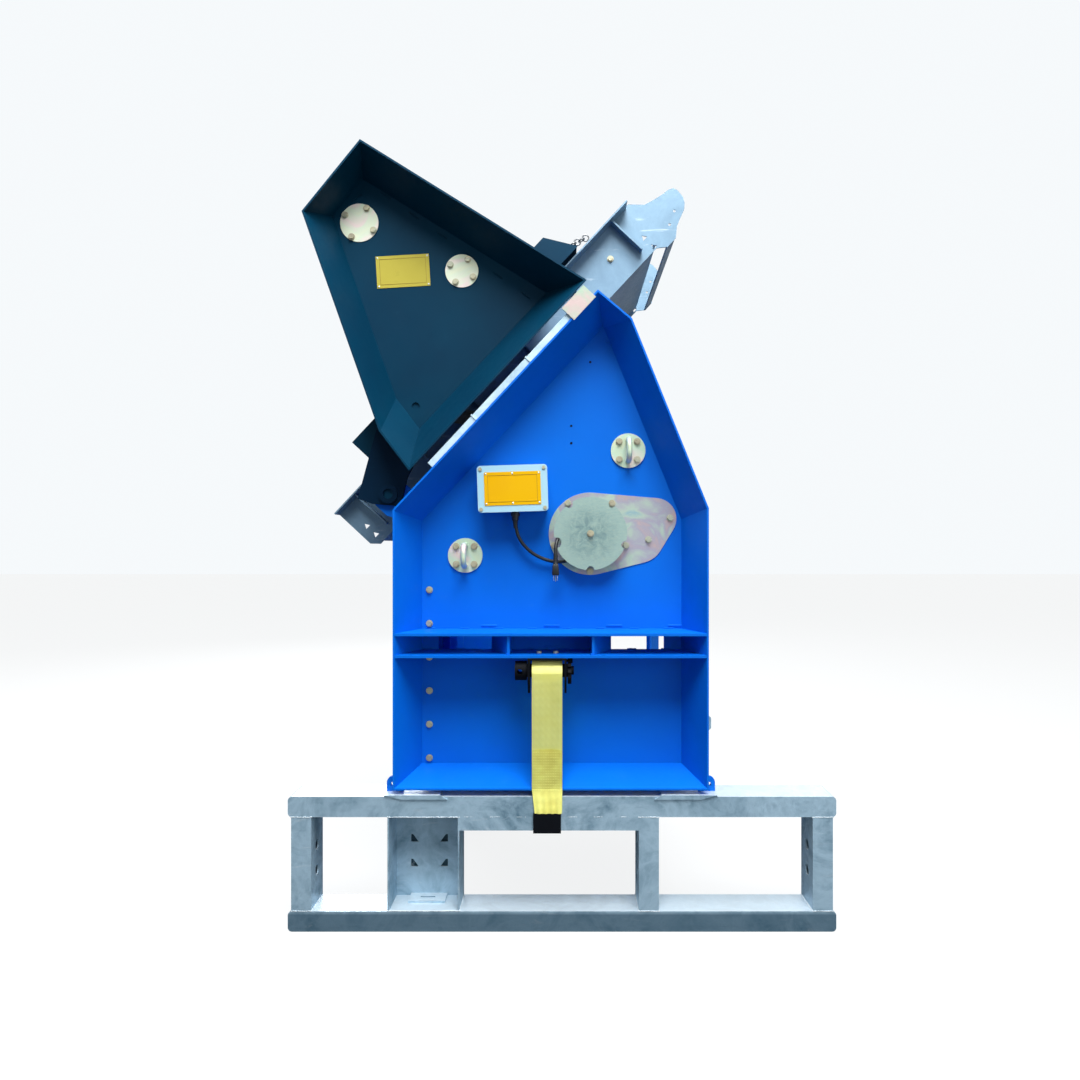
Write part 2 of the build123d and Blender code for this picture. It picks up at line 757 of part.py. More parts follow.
def control_parts():
    lid_y = -side_y - box_depth
    front = lid_y - lid_depth
    body = round_box(box_width - 6, box_height - 6, lid_y, -side_y, 10)
    body -= round_box(box_width - 14, box_height - 14, lid_y - 1, -side_y - 4, 7)
    lid = round_box(box_width, box_height, front, lid_y, 12)
    save("control_lid", [tilted(lid)])
    plate = round_box(plate_width, plate_height, front - plate_sheet, front, 4)
    save("control_plate", [tilted(plate)])
    screws = []
    for sx in (-1, 1):
        for sz in (-1, 1):
            place = (box_centre_x + sx * (box_width / 2 - 11), box_centre_z + sz * (box_height / 2 - 11))
            screws.append(tilted(rod(place, 6, front, front - 3)))

    gland_x, gland_y = box_centre_x + 6, -side_y - box_depth / 2
    gland_top = box_centre_z - box_height / 2 + 3.6
    gland = rod_z(gland_r, gland_x, gland_y, gland_top - gland_drop, gland_top)
    gland += rod_z(gland_r + 4, gland_x, gland_y, gland_top - 16, gland_top - 5)
    save("cord_gland", [gland])
    save("control_box", [tilted(body) - rod_z(gland_r + 0.2, gland_x, gland_y, gland_top - 30, gland_top + 30)])
    return screws, (gland_x, gland_y, gland_top - gland_drop)


def arc_radii(points):
    """One radius for each inner point: as large as its two runs allow."""
    radii = []
    for a, b, c in zip(points, points[1:], points[2:]):
        before, after = Vector(*b) - Vector(*a), Vector(*c) - Vector(*b)
        turn = math.radians(before.get_angle(after))
        radii.append(0.45 * min(before.length, after.length) / math.tan(turn / 2))
    return radii


def tube(points):
    radii = arc_radii(points)
    path = FilletPolyline(*points, radius=radii)
    start = Vector(*points[0])
    section = Plane(origin=start, z_dir=Vector(*points[1]) - start) * Circle(cord_r)
    shape = sweep(section, path=path)
    return shape


def cord_parts(exit_x, exit_y, exit_z):
    centre = (shaft_x, shaft_z)
    turn_r = hub_r + cord_gap + cord_r
    turned = coil_full_turns + ((coil_end_angle - coil_start_angle) % 360) / 360
    climb = turned * 2 * cord_r
    middle_y = -side_y - cover_sheet - hub_length / 2
    back_y, front_y = middle_y + climb / 2, middle_y - climb / 2
    coil = rod(centre, turn_r + cord_r, front_y - cord_r, back_y + cord_r)
    coil -= rod(centre, turn_r - cord_r, front_y - cord_r - 1, back_y + cord_r + 1)
    save("cord_coil", [coil])

    start = polar(centre, turn_r, coil_start_angle)
    first = [
        (exit_x, exit_y, exit_z),
        (exit_x + 2, exit_y + 1, exit_z - 40),
        (exit_x + 22, exit_y + 6, exit_z - 84),
        (exit_x + 64, exit_y + 13, exit_z - 124),
        (exit_x + 122, exit_y + 21, exit_z - 147),
        (exit_x + 172, exit_y + 28, exit_z - 148),
        (start[0] - 42, back_y, start[1] - 12),
        (start[0], back_y, start[1]),
    ]
    leave = polar(centre, turn_r, coil_end_angle)
    notch = polar(centre, disc_bolt_r, cord_gate_angle)
    drop_y = -side_y - cover_sheet - hub_length - disc_sheet - cord_r - 3
    plug_top = notch[1] - 52
    second = [
        (leave[0], front_y, leave[1]),
        (leave[0] - 44, front_y, leave[1] - 28),
        (notch[0] + 8, front_y - 1, notch[1] + 25),
        (notch[0], drop_y + 8, notch[1] + 2),
        (notch[0] - 1, drop_y, notch[1] - 24),
        (notch[0] - 1, drop_y - 1, plug_top),
    ]
    save("power_cord", [tube(first), tube(second)])
    px, py = notch[0] - 1, drop_y - 1
    plug = rod_z(9, px, py, plug_top - 14, plug_top)
    plug += block(px - 12, px + 12, py - 11, py + 11, plug_top - 52, plug_top - 14)
    pins = [
        block(px - 7, px - 5.5, py - 6, py + 0, plug_top - 70, plug_top - 52),
        block(px + 5.5, px + 7, py - 6, py + 0, plug_top - 70, plug_top - 52),
        rod_z(2.4, px, py + 6, plug_top - 73, plug_top - 52),
    ]
    save("power_plug", [plug] + pins)


# ---------------------------------------------------------------------------
# Winches and straps
# ---------------------------------------------------------------------------
def winch_parts():
    shelf_under = lower_shelf_z - shelf_sheet / 2
    axis_z = shelf_under - winch_drop
    wrap_r = spool_r + wrap_depth
    axis_y = -rim_y - strap_stand_off - strap_sheet + wrap_r
    left = strap_centre_x - strap_width / 2 - winch_plate_gap - winch_plate_sheet
    right = strap_centre_x + strap_width / 2 + winch_plate_gap + winch_plate_sheet
    frames = block(left, right, axis_y - winch_plate_depth / 2, axis_y + winch_plate_depth / 2 - 2,
                   shelf_under - winch_top_sheet, shelf_under)
    for x in (left, right - winch_plate_sheet):
        outline = [
            (axis_y - winch_plate_depth / 2, shelf_under - winch_top_sheet),
            (axis_y + winch_plate_depth / 2 - 2, shelf_under - winch_top_sheet),
            (axis_y + winch_plate_depth / 2 - 2, axis_z - 25),
            (axis_y + 8, axis_z - 74),
            (axis_y - 8, axis_z - 74),
            (axis_y - winch_plate_depth / 2, axis_z - 25),
        ]
        corners = [Vector(x, y, z) for y, z in outline]
        cheek = extrude(make_face(Polyline(*corners, close=True)), amount=winch_plate_sheet, dir=(1, 0, 0))
        frames += cheek - rod_x(spool_r + pin_clearance, x - 1, x + winch_plate_sheet + 1, axis_y, axis_z)
    spool = rod_x(spool_r, left - 10, right + 10, axis_y, axis_z)
    spool += rod_x(32, left - 42, left - 4, axis_y, axis_z)
    for turn in (0, 90):
        bar_hole = Cylinder(9, 100, rotation=(turn, 0, 0))
        spool -= Pos(left - 26, axis_y, axis_z) * bar_hole
    wheel = []
    for i in range(ratchet_teeth):
        start = 360.0 * i / ratchet_teeth
        wheel.append(polar((axis_y, axis_z), ratchet_r, start))
        wheel.append(polar((axis_y, axis_z), ratchet_r - 9, start + 2))
    corners = [Vector(right + 4, y, z) for y, z in wheel]
    spool += extrude(make_face(Polyline(*corners, close=True)), amount=12, dir=(1, 0, 0))
    spool += rod_x(14, right + 10, right + 24, axis_y, axis_z)
    save("winch_spool_near", [spool])
    save("winch_spool_far", [mirrored(spool)])

    pawl_y, pawl_z = axis_y + ratchet_r + 11, axis_z + 24
    pawl = rod_x(9, right + 5, right + 15, pawl_y, pawl_z)
    tip = [(pawl_y - 8, pawl_z + 5), (pawl_y + 8, pawl_z), (pawl_y + 2, pawl_z - 42), (pawl_y - 5, pawl_z - 42)]
    corners = [Vector(right + 5, y, z) for y, z in tip]
    pawl += extrude(make_face(Polyline(*corners, close=True)), amount=10, dir=(1, 0, 0))
    pawl -= rod_x(4.5, right, right + 30, pawl_y, pawl_z)
    save("winch_pawl_near", [pawl])
    save("winch_pawl_far", [mirrored(pawl)])
    pivot = rod_x(4.5 - pin_clearance, right - 1, right + 18, pawl_y, pawl_z)
    pivot += rod_x(8, right + 16, right + 21, pawl_y, pawl_z)
    lug_plate = block(right - winch_plate_sheet, right, axis_y, pawl_y + 12, pawl_z - 12, shelf_under - 5)
    frames += lug_plate - rod_x(spool_r + pin_clearance, left, right + 1, axis_y, axis_z)
    save("winch_frames", both_sides([frames + pivot]))

    x_from, x_to = strap_centre_x - strap_width / 2, strap_centre_x + strap_width / 2
    wrap = rod_x(wrap_r, x_from, x_to, axis_y, axis_z)
    wrap -= rod_x(spool_r + 0.3, x_from - 1, x_to + 1, axis_y, axis_z)
    face_y = axis_y - wrap_r
    hook_top = skid_height - rail_height + 19
    run = block(x_from, x_to, face_y, face_y + strap_sheet, doubled_strap_top, axis_z)
    doubled = block(x_from + 1, x_to - 1, face_y - strap_sheet, face_y + strap_sheet, hook_top - 5, doubled_strap_top)
    save("straps", both_sides([wrap + run + doubled]))

    bar_bottom = skid_height - rail_height - stiffener_height
    hx_from, hx_to = strap_centre_x - hook_width / 2, strap_centre_x + hook_width / 2
    back = face_y + strap_sheet
    hook_front = back - hook_sheet
    inner = -rim_y + stiffener_depth + 1
    outline = [
        (-rim_y - 1, hook_top - 5), (hook_front - 1, hook_top - 5),
        (hook_front - 1, bar_bottom - 1 - hook_sheet), (inner + hook_sheet, bar_bottom - 1 - hook_sheet),
        (inner + hook_sheet, bar_bottom + 16), (inner, bar_bottom + 16),
        (inner, bar_bottom - 1), (-rim_y - 1, bar_bottom - 1),
    ]
    corners = [Vector(hx_from, y, z) for y, z in outline]
    hook = extrude(make_face(Polyline(*corners, close=True)), amount=hook_width, dir=(1, 0, 0))
    save("strap_hooks", both_sides([hook]))
    heads = []
    for side in (-1, 1):
        for dx in (-28, 28):
            head_y = side * (axis_y + winch_plate_depth / 2 - 14)
            head_z = shelf_under + shelf_sheet
            heads.append(rod_z(9, strap_centre_x + dx, head_y, head_z, head_z + 7))
    return heads


# ---------------------------------------------------------------------------
# Hood
# ---------------------------------------------------------------------------
def hood_parts(lug_pins):
    plate = prism(hood_plate, -side_y, -side_y + hood_sheet)
    plate = plate - rod(lug, link_pin_r, -rim_y, 0)
    save("hood_sides", both_sides([plate]))

    outer = funnel(hood_rim, hood_plate, -1)
    inner = funnel(inset(hood_rim, [rim_sheet] * 5), inset(hood_plate, [rim_sheet] * 5), -1)
    rim = outer - inner
    save("hood_rim_near", [rim])
    save("hood_rim_far", [mirrored(rim)])

    thin = inset(hood_plate, [skin_sheet] * 5)
    edge_y = side_y - hood_sheet
    tunnel_cut = slope_points([
        (-100, -100), (1300, -100), (1300, tunnel_top_v + 1), (-100, tunnel_top_v + 1),
    ])
    skins = []
    for i in (1, 2, 3, 4):
        j = (i + 1) % 5
        skin = prism([hood_plate[i], hood_plate[j], thin[j], thin[i]], -edge_y, edge_y)
        skin -= prism(tunnel_cut, -tunnel_half_width - 1, tunnel_half_width + 1)
        if i == 4:
            skin -= prism(tunnel_cut, -edge_y - 1, edge_y + 1)
        skins.append(skin)
    save("hood_skins", skins)

    roof = slope_points([
        (tunnel_lower_u, tunnel_top_v - 6), (tunnel_lower_u, tunnel_top_v),
        (tunnel_upper_u, tunnel_top_v), (tunnel_upper_u + 60, tunnel_end_v + 6), (tunnel_upper_u + 53, tunnel_end_v),
        (tunnel_upper_u - 4, tunnel_top_v - 6),
    ])
    tunnel = prism(roof, -tunnel_half_width, tunnel_half_width)
    cheek = slope_points([
        (tunnel_lower_u, tunnel_bottom_v), (tunnel_lower_u, tunnel_top_v),
        (tunnel_upper_u, tunnel_top_v), (tunnel_upper_u + 60, tunnel_bottom_v),
    ])
    tunnel += prism(cheek, -tunnel_half_width, -tunnel_half_width + 5)
    tunnel += prism(cheek, tunnel_half_width - 5, tunnel_half_width)
    save("hood_tunnel", [tunnel])

    arm_outline = slope_points([
        (148, 250), (-68, 136), (-46, 86), (hinge_u - 10, hinge_v - 49), (hinge_u + 22, hinge_v - 45),
        (102, 61), (200, 90), (240, 200),
    ])
    arm = prism(arm_outline, -arm_inner_y - arm_sheet, -arm_inner_y)
    arm = arm - funnel(hood_rim, hood_plate, -1)
    arm = max(arm.solids(), key=lambda s: s.volume)
    boss = rod(hinge, boss_r, -arm_inner_y - arm_sheet - 8, -arm_inner_y)
    arm = arm + boss - rod(hinge, pin_r, -rim_y, 0)
    save("hood_arms", both_sides([arm]))
    pin_in = -arm_inner_y + ear_gap + ear_sheet + 4
    pin = rod(hinge, pin_r, -arm_inner_y - arm_sheet + 2, pin_in)
    save("hood_pins", both_sides([pin]) + lug_pins)

    covers, heads = [], []
    for centre, radius, circle in ((slope(*upper_cover_place), 66.5, 56.0), (slope(*lower_cover_place), 57.5, 44.5)):
        covers.append(rod(centre, radius, -side_y, -side_y - 3))
        heads += [hex_head(polar(centre, circle, hood_bolt_turn + 90 * i), -side_y - 3, -1) for i in range(4)]
    save("hood_covers", both_sides(covers))
    save("hood_cover_bolts", both_sides(heads))
    sign_x, sign_z = slope(*sign_place)
    sign_centre = Pos(sign_x, -side_y - plate_sheet / 2, sign_z)
    sign = sign_centre * Rot(0, -3.3, 0) * Box(185, plate_sheet, 111)
    save("hood_plate", [sign])


# ---------------------------------------------------------------------------
# Chute
# ---------------------------------------------------------------------------
def chute_parts():
    nose = [
        (chute_upper_end, 140), (1433, 130), (1472, 119), (1506, 113), (1521, 104), (1526, 89), (1522, 57),
        (1510, 37), (1491, 22), (1455, 10), (1428, -1), (1395, -26), (1351, -27), (1320, 0),
    ]
    outline = [(chute_lower_end + 25, 0), (chute_lower_end, 28), (chute_lower_end, chute_depth),
               (chute_upper_end - 40, chute_depth)] + nose
    web = prism(slope_points(outline), -chute_half_width - chute_sheet, -chute_half_width)
    for u, v in ((1463, 45), (1415, 24)):
        web -= rod(slope(u, v), nose_hole_r, -rim_y, 0)
    for u, v, reach in ((1317, 59, 12), (1317, 1 + 10, 12), (-140, 81, 12), (-140, 36, 12)):
        centre = slope(u, v)
        triangle = [polar(centre, reach, 90 + 47 + 120 * i) for i in range(3)]
        web -= prism(triangle, -rim_y, 0)
    top = slope_points([
        (chute_lower_end, chute_depth - chute_sheet), (chute_lower_end, chute_depth),
        (chute_upper_end - 55, chute_depth), (chute_upper_end - 55, chute_depth - chute_sheet),
    ])
    web += prism(top, -chute_half_width - chute_flange, -chute_half_width)
    ribs = []
    for i in range(6):
        u = first_rib_u + rib_pitch * i
        rib_top = chute_depth - chute_sheet
        rib = slope_points([(u - 3, 30), (u - 3, rib_top), (u + 3, rib_top), (u + 3, 30)])
        web += prism(rib, -chute_half_width - 42, -chute_half_width - chute_sheet + 1)
    save("chute_sides", both_sides([web]))

    bed_from, bed_to = chute_lower_end + 30, 1330
    bed = slope_points([(bed_from, bed_v), (bed_from, bed_v + 5), (bed_to, bed_v + 5), (bed_to, bed_v)])
    lip = slope_points([(1351, -25), (1351, -20), (1392, -20), (1392, -25)])
    save("chute_bed", [prism(part, -chute_half_width, chute_half_width) for part in (bed, lip)])

    bolts = [hex_head(slope(1176, 96), -chute_half_width - chute_sheet, -1)]
    latch = slope_points([(861, -12), (861, 44), (965, 44), (965, -12)])
    save("latch_plate", both_sides([prism(latch, -rim_y - 4, -rim_y)]))

    links = []
    for i in range(ring_count):
        along = link_step * i
        centre = slope(chain_u - along * math.cos(chain_rise), chain_v + along * math.sin(chain_rise))
        turn = 90 if i % 2 == 0 else 0
        spin = Rot(0, -slope_angle + math.degrees(chain_rise), 0) * Rot(turn, 0, 0)
        links.append(Pos(centre[0], -chute_half_width - 62, centre[1]) * spin * Torus(ring_r, wire_r))
    save("safety_chain", links)
    return both_sides(bolts)


os.makedirs("parts", exist_ok=True)
skid_parts()
small_screws = casing_parts()
fasteners = eye_parts()
drive_bolts, lug_pins = drive_parts()
fasteners += drive_bolts
lid_screws, gland_place = control_parts()
save("small_screws", small_screws + lid_screws)
cord_parts(*gland_place)
fasteners += winch_parts()
hood_parts(lug_pins)
fasteners += chute_parts()
save("cover_bolts", fasteners)
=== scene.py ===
import bpy
import bmesh
import json
import math
import random
from mathutils import Matrix, Vector


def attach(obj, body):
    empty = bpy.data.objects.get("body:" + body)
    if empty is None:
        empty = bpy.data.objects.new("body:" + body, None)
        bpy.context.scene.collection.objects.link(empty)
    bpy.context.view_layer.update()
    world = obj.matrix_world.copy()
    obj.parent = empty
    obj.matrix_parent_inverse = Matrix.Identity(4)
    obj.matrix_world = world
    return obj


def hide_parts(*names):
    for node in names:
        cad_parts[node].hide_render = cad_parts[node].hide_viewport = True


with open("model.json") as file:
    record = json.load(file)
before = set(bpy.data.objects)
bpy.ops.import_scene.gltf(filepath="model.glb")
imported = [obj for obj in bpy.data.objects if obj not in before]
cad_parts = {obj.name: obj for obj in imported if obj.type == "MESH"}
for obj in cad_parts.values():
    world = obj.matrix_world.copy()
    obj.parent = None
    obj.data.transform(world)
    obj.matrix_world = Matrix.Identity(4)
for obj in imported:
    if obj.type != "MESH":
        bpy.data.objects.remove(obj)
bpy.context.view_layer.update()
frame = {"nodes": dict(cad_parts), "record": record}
random.seed(7)
nodes = frame["nodes"]


camera = {"distance": 3.15, "height": 1.269, "lens": 25.4, "shiftX": -0.0204, "shiftY": 0.0046}
camData = bpy.data.cameras.new("camera")
camData.lens = camera["lens"]
camData.shift_x = camera["shiftX"]
camData.shift_y = camera["shiftY"]
camData.clip_end = 100
camObject = bpy.data.objects.new("camera", camData)
camObject.location = (0, -camera["distance"], camera["height"])
camObject.rotation_euler = (math.radians(90), 0, 0)
bpy.context.scene.collection.objects.link(camObject)
bpy.context.scene.camera = camObject


# the route's points in metres, down out of the gland, under the disc, round the hub and out through a notch
powerLead = {
    "diameter": 0.012, "centre": (0.097, 1.308), "turnRadius": 0.059, "turns": 2.583, "perTurn": 14,
    "start": 270, "backY": -0.5115, "frontY": -0.5425,
    "first": [(-0.160, -0.542, 1.3581), (-0.158, -0.541, 1.3181), (-0.138, -0.536, 1.2741),
              (-0.096, -0.529, 1.2341), (-0.038, -0.521, 1.2111), (0.012, -0.514, 1.2101),
              (0.055, -0.5115, 1.2370)],
    "last": [(0.0235, -0.5425, 1.3311), (-0.0129, -0.5435, 1.2947), (-0.0209, -0.556, 1.2717),
             (-0.0219, -0.564, 1.2457), (-0.0219, -0.565, 1.2177)],
}


def splineLength(curve):
    # length along the smooth line of a curve that has no bevel
    plain = bpy.data.meshes.new_from_object(curve)
    points = [vertex.co.copy() for vertex in plain.vertices]
    bpy.data.meshes.remove(plain)
    return sum((b - a).length for a, b in zip(points, points[1:]))


def leadPoints(lead):
    # the coil's helix is part of the same line as the two ends
    count = round(lead["turns"] * lead["perTurn"])
    middle = []
    for i in range(count + 1):
        angle = math.radians(lead["start"] + 360 * lead["turns"] * i / count)
        y = lead["backY"] + (lead["frontY"] - lead["backY"]) * i / count
        middle.append((lead["centre"][0] + lead["turnRadius"] * math.cos(angle), y,
                       lead["centre"][1] + lead["turnRadius"] * math.sin(angle)))
    return lead["first"] + middle + lead["last"]


leadData = bpy.data.curves.new("powerLead", "CURVE")
leadData.dimensions = "3D"
leadData.resolution_u = 6
leadPath = leadPoints(powerLead)
spline = leadData.splines.new("NURBS")
spline.points.add(len(leadPath) - 1)
for point, place in zip(spline.points, leadPath):
    point.co = (*place, 1)
spline.order_u = 3
spline.use_endpoint_u = True
leadObject = bpy.data.objects.new("powerLead", leadData)
bpy.context.scene.collection.objects.link(leadObject)
bpy.context.view_layer.update()
leadLength = splineLength(leadObject)
print("lead length", round(leadLength, 3))
leadData.bevel_depth = powerLead["diameter"] / 2
leadData.bevel_resolution = 5
leadData.use_fill_caps = True


def linear(hexText):
    # sRGB hex to linear colour with alpha
    values = [int(hexText[i:i + 2], 16) / 255 for i in (1, 3, 5)]
    return tuple(v / 12.92 if v <= 0.04045 else ((v + 0.055) / 1.055) ** 2.4 for v in values) + (1.0,)


def newMaterial(name):
    material = bpy.data.materials.new(name)
    material.use_nodes = True
    tree = material.node_tree
    return material, tree, tree.nodes["Principled BSDF"]


def feed(tree, node, inputs):
    # an input is a value, or an output socket to link
    for key, value in inputs.items():
        if isinstance(value, bpy.types.NodeSocket):
            tree.links.new(value, node.inputs[key])
        else:
            node.inputs[key].default_value = value


def addNode(tree, kind, inputs=None, output=0, stops=(), **settings):
    # adds a node and gives one of its outputs; stops are a ramp's places and colours
    node = tree.nodes.new("ShaderNode" + kind)
    for key, value in settings.items():
        setattr(node, key, value)
    feed(tree, node, inputs or {})
    if stops:
        elements = node.color_ramp.elements
        while len(elements) < len(stops):
            elements.new(0.5)
        for element, (place, hexText) in zip(elements, stops):
            element.position = place
            element.color = linear(hexText)
    return node.outputs[output]


def finish(mesh, name, body, materials, smooth=40, recalc=True):
    # turns a bmesh into a piece that rides on a CAD body
    if recalc:
        bmesh.ops.recalc_face_normals(mesh, faces=mesh.faces)
    data = bpy.data.meshes.new(name)
    mesh.to_mesh(data)
    mesh.free()
    for material in materials:
        data.materials.append(material)
    piece = bpy.data.objects.new(name, data)
    bpy.context.scene.collection.objects.link(piece)
    if smooth:
        data.shade_smooth()
        data.set_sharp_from_angle(angle=math.radians(smooth))
    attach(piece, body)
    return piece


def addBox(mesh, low, high, rounding=0.0, segments=2):
    made = bmesh.ops.create_cube(mesh, size=1)["verts"]
    size = [b - a for a, b in zip(low, high)]
    middle = [(a + b) / 2 for a, b in zip(low, high)]
    bmesh.ops.scale(mesh, vec=size, verts=made)
    bmesh.ops.translate(mesh, vec=middle, verts=made)
    if rounding:
        edges = list(dict.fromkeys(edge for vertex in made for edge in vertex.link_edges))
        made = bmesh.ops.bevel(mesh, geom=edges, offset=rounding, offset_type="OFFSET", affect="EDGES",
                               segments=segments, profile=0.5, material=-1)["verts"]
    return made


def turned(mesh, profile, axisFrom, axisTo, steps=32):
    # spins a profile of (along, radius) pairs about the line from axisFrom to axisTo
    start, end = Vector(axisFrom), Vector(axisTo)
    along = (end - start).normalized()
    side = along.orthogonal().normalized()
    verts = [mesh.verts.new(start + along * a + side * r) for a, r in profile]
    edges = [mesh.edges.new(pair) for pair in zip(verts, verts[1:])]
    bmesh.ops.spin(mesh, geom=verts + edges, cent=start, axis=along, angle=math.tau, steps=steps,
                   use_merge=True, use_normal_flip=False, use_duplicate=False)
    bmesh.ops.remove_doubles(mesh, verts=mesh.verts, dist=0.00001)


def mirrorY(mesh):
    # the same again on the far side
    copy = bmesh.ops.duplicate(mesh, geom=mesh.verts[:] + mesh.edges[:] + mesh.faces[:])
    verts = [item for item in copy["geom"] if isinstance(item, bmesh.types.BMVert)]
    bmesh.ops.scale(mesh, vec=(1, -1, 1), verts=verts)


def slopePlace(u, v, y):
    # the sloping frame that the hood and the chute are laid out in, millimetres in and metres out
    x = -0.556 + 0.682 * u / 1000 - 0.7314 * v / 1000
    z = 1.385 + 0.7314 * u / 1000 + 0.682 * v / 1000
    return Vector((x, y / 1000, z))


# a noise scale is 1000 over one feature's width in millimetres, and a bump distance is millimetres over 1000
def enamel(name, face, chalk, grime, rough, gloss=0.18):
    # solvent enamel sprayed on sheet steel: an even colour, slight orange peel, dust in scattered fine patches
    material, tree, shader = newMaterial(name)
    place = addNode(tree, "TexCoord", output="Object")
    cloud = addNode(tree, "TexNoise", {"Vector": place, "Scale": 1000 / 420, "Detail": 5, "Roughness": 0.55})
    fine = addNode(tree, "TexNoise", {"Vector": place, "Scale": 1000 / 55, "Detail": 6, "Roughness": 0.65})
    peel = addNode(tree, "TexNoise", {  # orange peel, drawn coarser than the real 1 mm
        "Vector": place, "Scale": 1000 / 5, "Detail": 2, "Roughness": 0.55})
    colour = addNode(tree, "ValToRGB", {"Fac": cloud}, stops=[(0.32, face), (0.72, chalk)])
    dust = addNode(tree, "MapRange", {"Value": fine, "From Min": 0.62, "From Max": 0.85, "To Max": 0.35})
    feed(tree, shader, {
        "Base Color": addNode(tree, "Mix", {0: dust, 6: colour, 7: linear(grime)}, 2, data_type="RGBA"),
        "Roughness": addNode(tree, "MapRange", {
            "Value": fine, "From Min": 0.3, "From Max": 0.8, "To Min": rough - 0.06, "To Max": rough + 0.16}),
        "Specular IOR Level": gloss,
        "Normal": addNode(tree, "Bump", {"Height": peel, "Distance": 0.05 / 1000, "Strength": 0.5})})
    return material


def galvanised(name, light, dark, spangleSize, metallic, rough, low=0.0):
    # hot-dip zinc: crystals a few millimetres wide, cloudy patches and pale runs, with painted shade near the
    # ground where asked and painted light on upward faces
    material, tree, shader = newMaterial(name)
    place = addNode(tree, "TexCoord", output="Object")
    crystals = addNode(tree, "TexVoronoi", {
        "Vector": place, "Scale": 1000 / spangleSize, "Randomness": 1.0}, "Color", feature="F1")
    crystal = addNode(tree, "SeparateColor", {"Color": crystals})
    patch = addNode(tree, "TexNoise", {
        "Vector": place, "Scale": 1000 / 170, "Detail": 6, "Roughness": 0.62, "Distortion": 0.6})
    runs = addNode(tree, "Mapping", {"Vector": place, "Scale": (0.35, 1, 1.6)})
    smear = addNode(tree, "TexNoise", {
        "Vector": runs, "Scale": 1000 / 60, "Detail": 5, "Roughness": 0.7, "Distortion": 1.2})
    base = addNode(tree, "ValToRGB", {"Fac": patch}, stops=[(0.3, dark), (0.5, light), (0.75, dark)])
    sparkle = addNode(tree, "MapRange", {"Value": crystal, "To Max": 0.28})
    worked = addNode(tree, "Mix", {0: sparkle, 6: base, 7: linear(light)}, 2, data_type="RGBA")
    pale = addNode(tree, "MapRange", {"Value": smear, "From Min": 0.6, "From Max": 0.74, "To Max": 0.5})
    streaked = addNode(tree, "Mix", {0: pale, 6: worked, 7: linear("#D4DEE6")}, 2, data_type="RGBA")
    lowRailShade = addNode(tree, "MapRange", {  # painted shade on the lowest rail, standing in for the ground's dark reflection, full below 55 mm, heights in metres
        "Value": addNode(tree, "SeparateXYZ", {"Vector": place}, "Z"),
        "From Min": 0.055, "From Max": 0.0665, "To Min": low, "To Max": 0})
    lowRailShaded = addNode(tree, "Mix", {0: lowRailShade, 6: streaked, 7: linear("#35566A")}, 2, data_type="RGBA")
    normal = addNode(tree, "NewGeometry", output="Normal")
    upper = addNode(tree, "MapRange", {  # painted light: upward faces made paler as if lit from above
        "Value": addNode(tree, "SeparateXYZ", {"Vector": normal}, "Z"), "From Min": 0.8, "To Max": 0.6})
    feed(tree, shader, {
        "Base Color": addNode(tree, "Mix", {
            0: upper, 6: lowRailShaded, 7: linear("#E2EEF4")}, 2, data_type="RGBA"),
        "Metallic": metallic,
        "Roughness": addNode(tree, "MapRange", {
            "Value": crystal, "To Min": rough - 0.1, "To Max": rough + 0.14}),
        "Normal": addNode(tree, "Bump", {"Height": patch, "Distance": 0.4 / 1000, "Strength": 0.35})})
    return material


def yellowZinc(name, stops, metallic, rough):
    # passivated zinc plate: a thin film that shifts from straw to green, pink and blue across a plate
    material, tree, shader = newMaterial(name)
    place = addNode(tree, "TexCoord", output="Object")
    film = addNode(tree, "TexNoise", {
        "Vector": place, "Scale": 1000 / 130, "Detail": 3, "Roughness": 0.5, "Distortion": 1.4})
    brushed = addNode(tree, "Mapping", {"Vector": place, "Scale": (1, 1, 7)})
    grain = addNode(tree, "TexNoise", {"Vector": brushed, "Scale": 1000 / 9, "Detail": 4, "Roughness": 0.6})
    colour = addNode(tree, "ValToRGB", {"Fac": film}, stops=stops)
    rubbed = addNode(tree, "MapRange", {"Value": grain, "From Min": 0.55, "From Max": 0.8, "To Max": 0.3})
    feed(tree, shader, {
        "Base Color": addNode(tree, "Mix", {0: rubbed, 6: colour, 7: linear("#E8ECDC")}, 2, data_type="RGBA"),
        "Metallic": metallic,
        "Roughness": addNode(tree, "MapRange", {
            "Value": grain, "From Min": 0.3, "From Max": 0.8, "To Min": rough - 0.08, "To Max": rough + 0.12}),
        "Normal": addNode(tree, "Bump", {"Height": grain, "Distance": 0.06 / 1000, "Strength": 0.4})})
    return material


def steel(name, light, dark, metallic, rough, grainSize=6, gloss=0.5):
    # rolled or cast steel, bare or thinly coated: a cloudy tone with a fine grain along one way
    material, tree, shader = newMaterial(name)
    place = addNode(tree, "TexCoord", output="Object")
    cloud = addNode(tree, "TexNoise", {"Vector": place, "Scale": 1000 / 45, "Detail": 5, "Roughness": 0.6})
    rolled = addNode(tree, "Mapping", {"Vector": place, "Scale": (1, 6, 1)})
    grain = addNode(tree, "TexNoise", {
        "Vector": rolled, "Scale": 1000 / grainSize, "Detail": 4, "Roughness": 0.55})
    feed(tree, shader, {
        "Base Color": addNode(tree, "ValToRGB", {"Fac": cloud}, stops=[(0.3, dark), (0.7, light)]),
        "Metallic": metallic,
        "Roughness": addNode(tree, "MapRange", {
            "Value": grain, "From Min": 0.3, "From Max": 0.7, "To Min": rough - 0.08, "To Max": rough + 0.1}),
        "Specular IOR Level": gloss,
        "Normal": addNode(tree, "Bump", {"Height": grain, "Distance": 0.05 / 1000, "Strength": 0.4})})
    return material


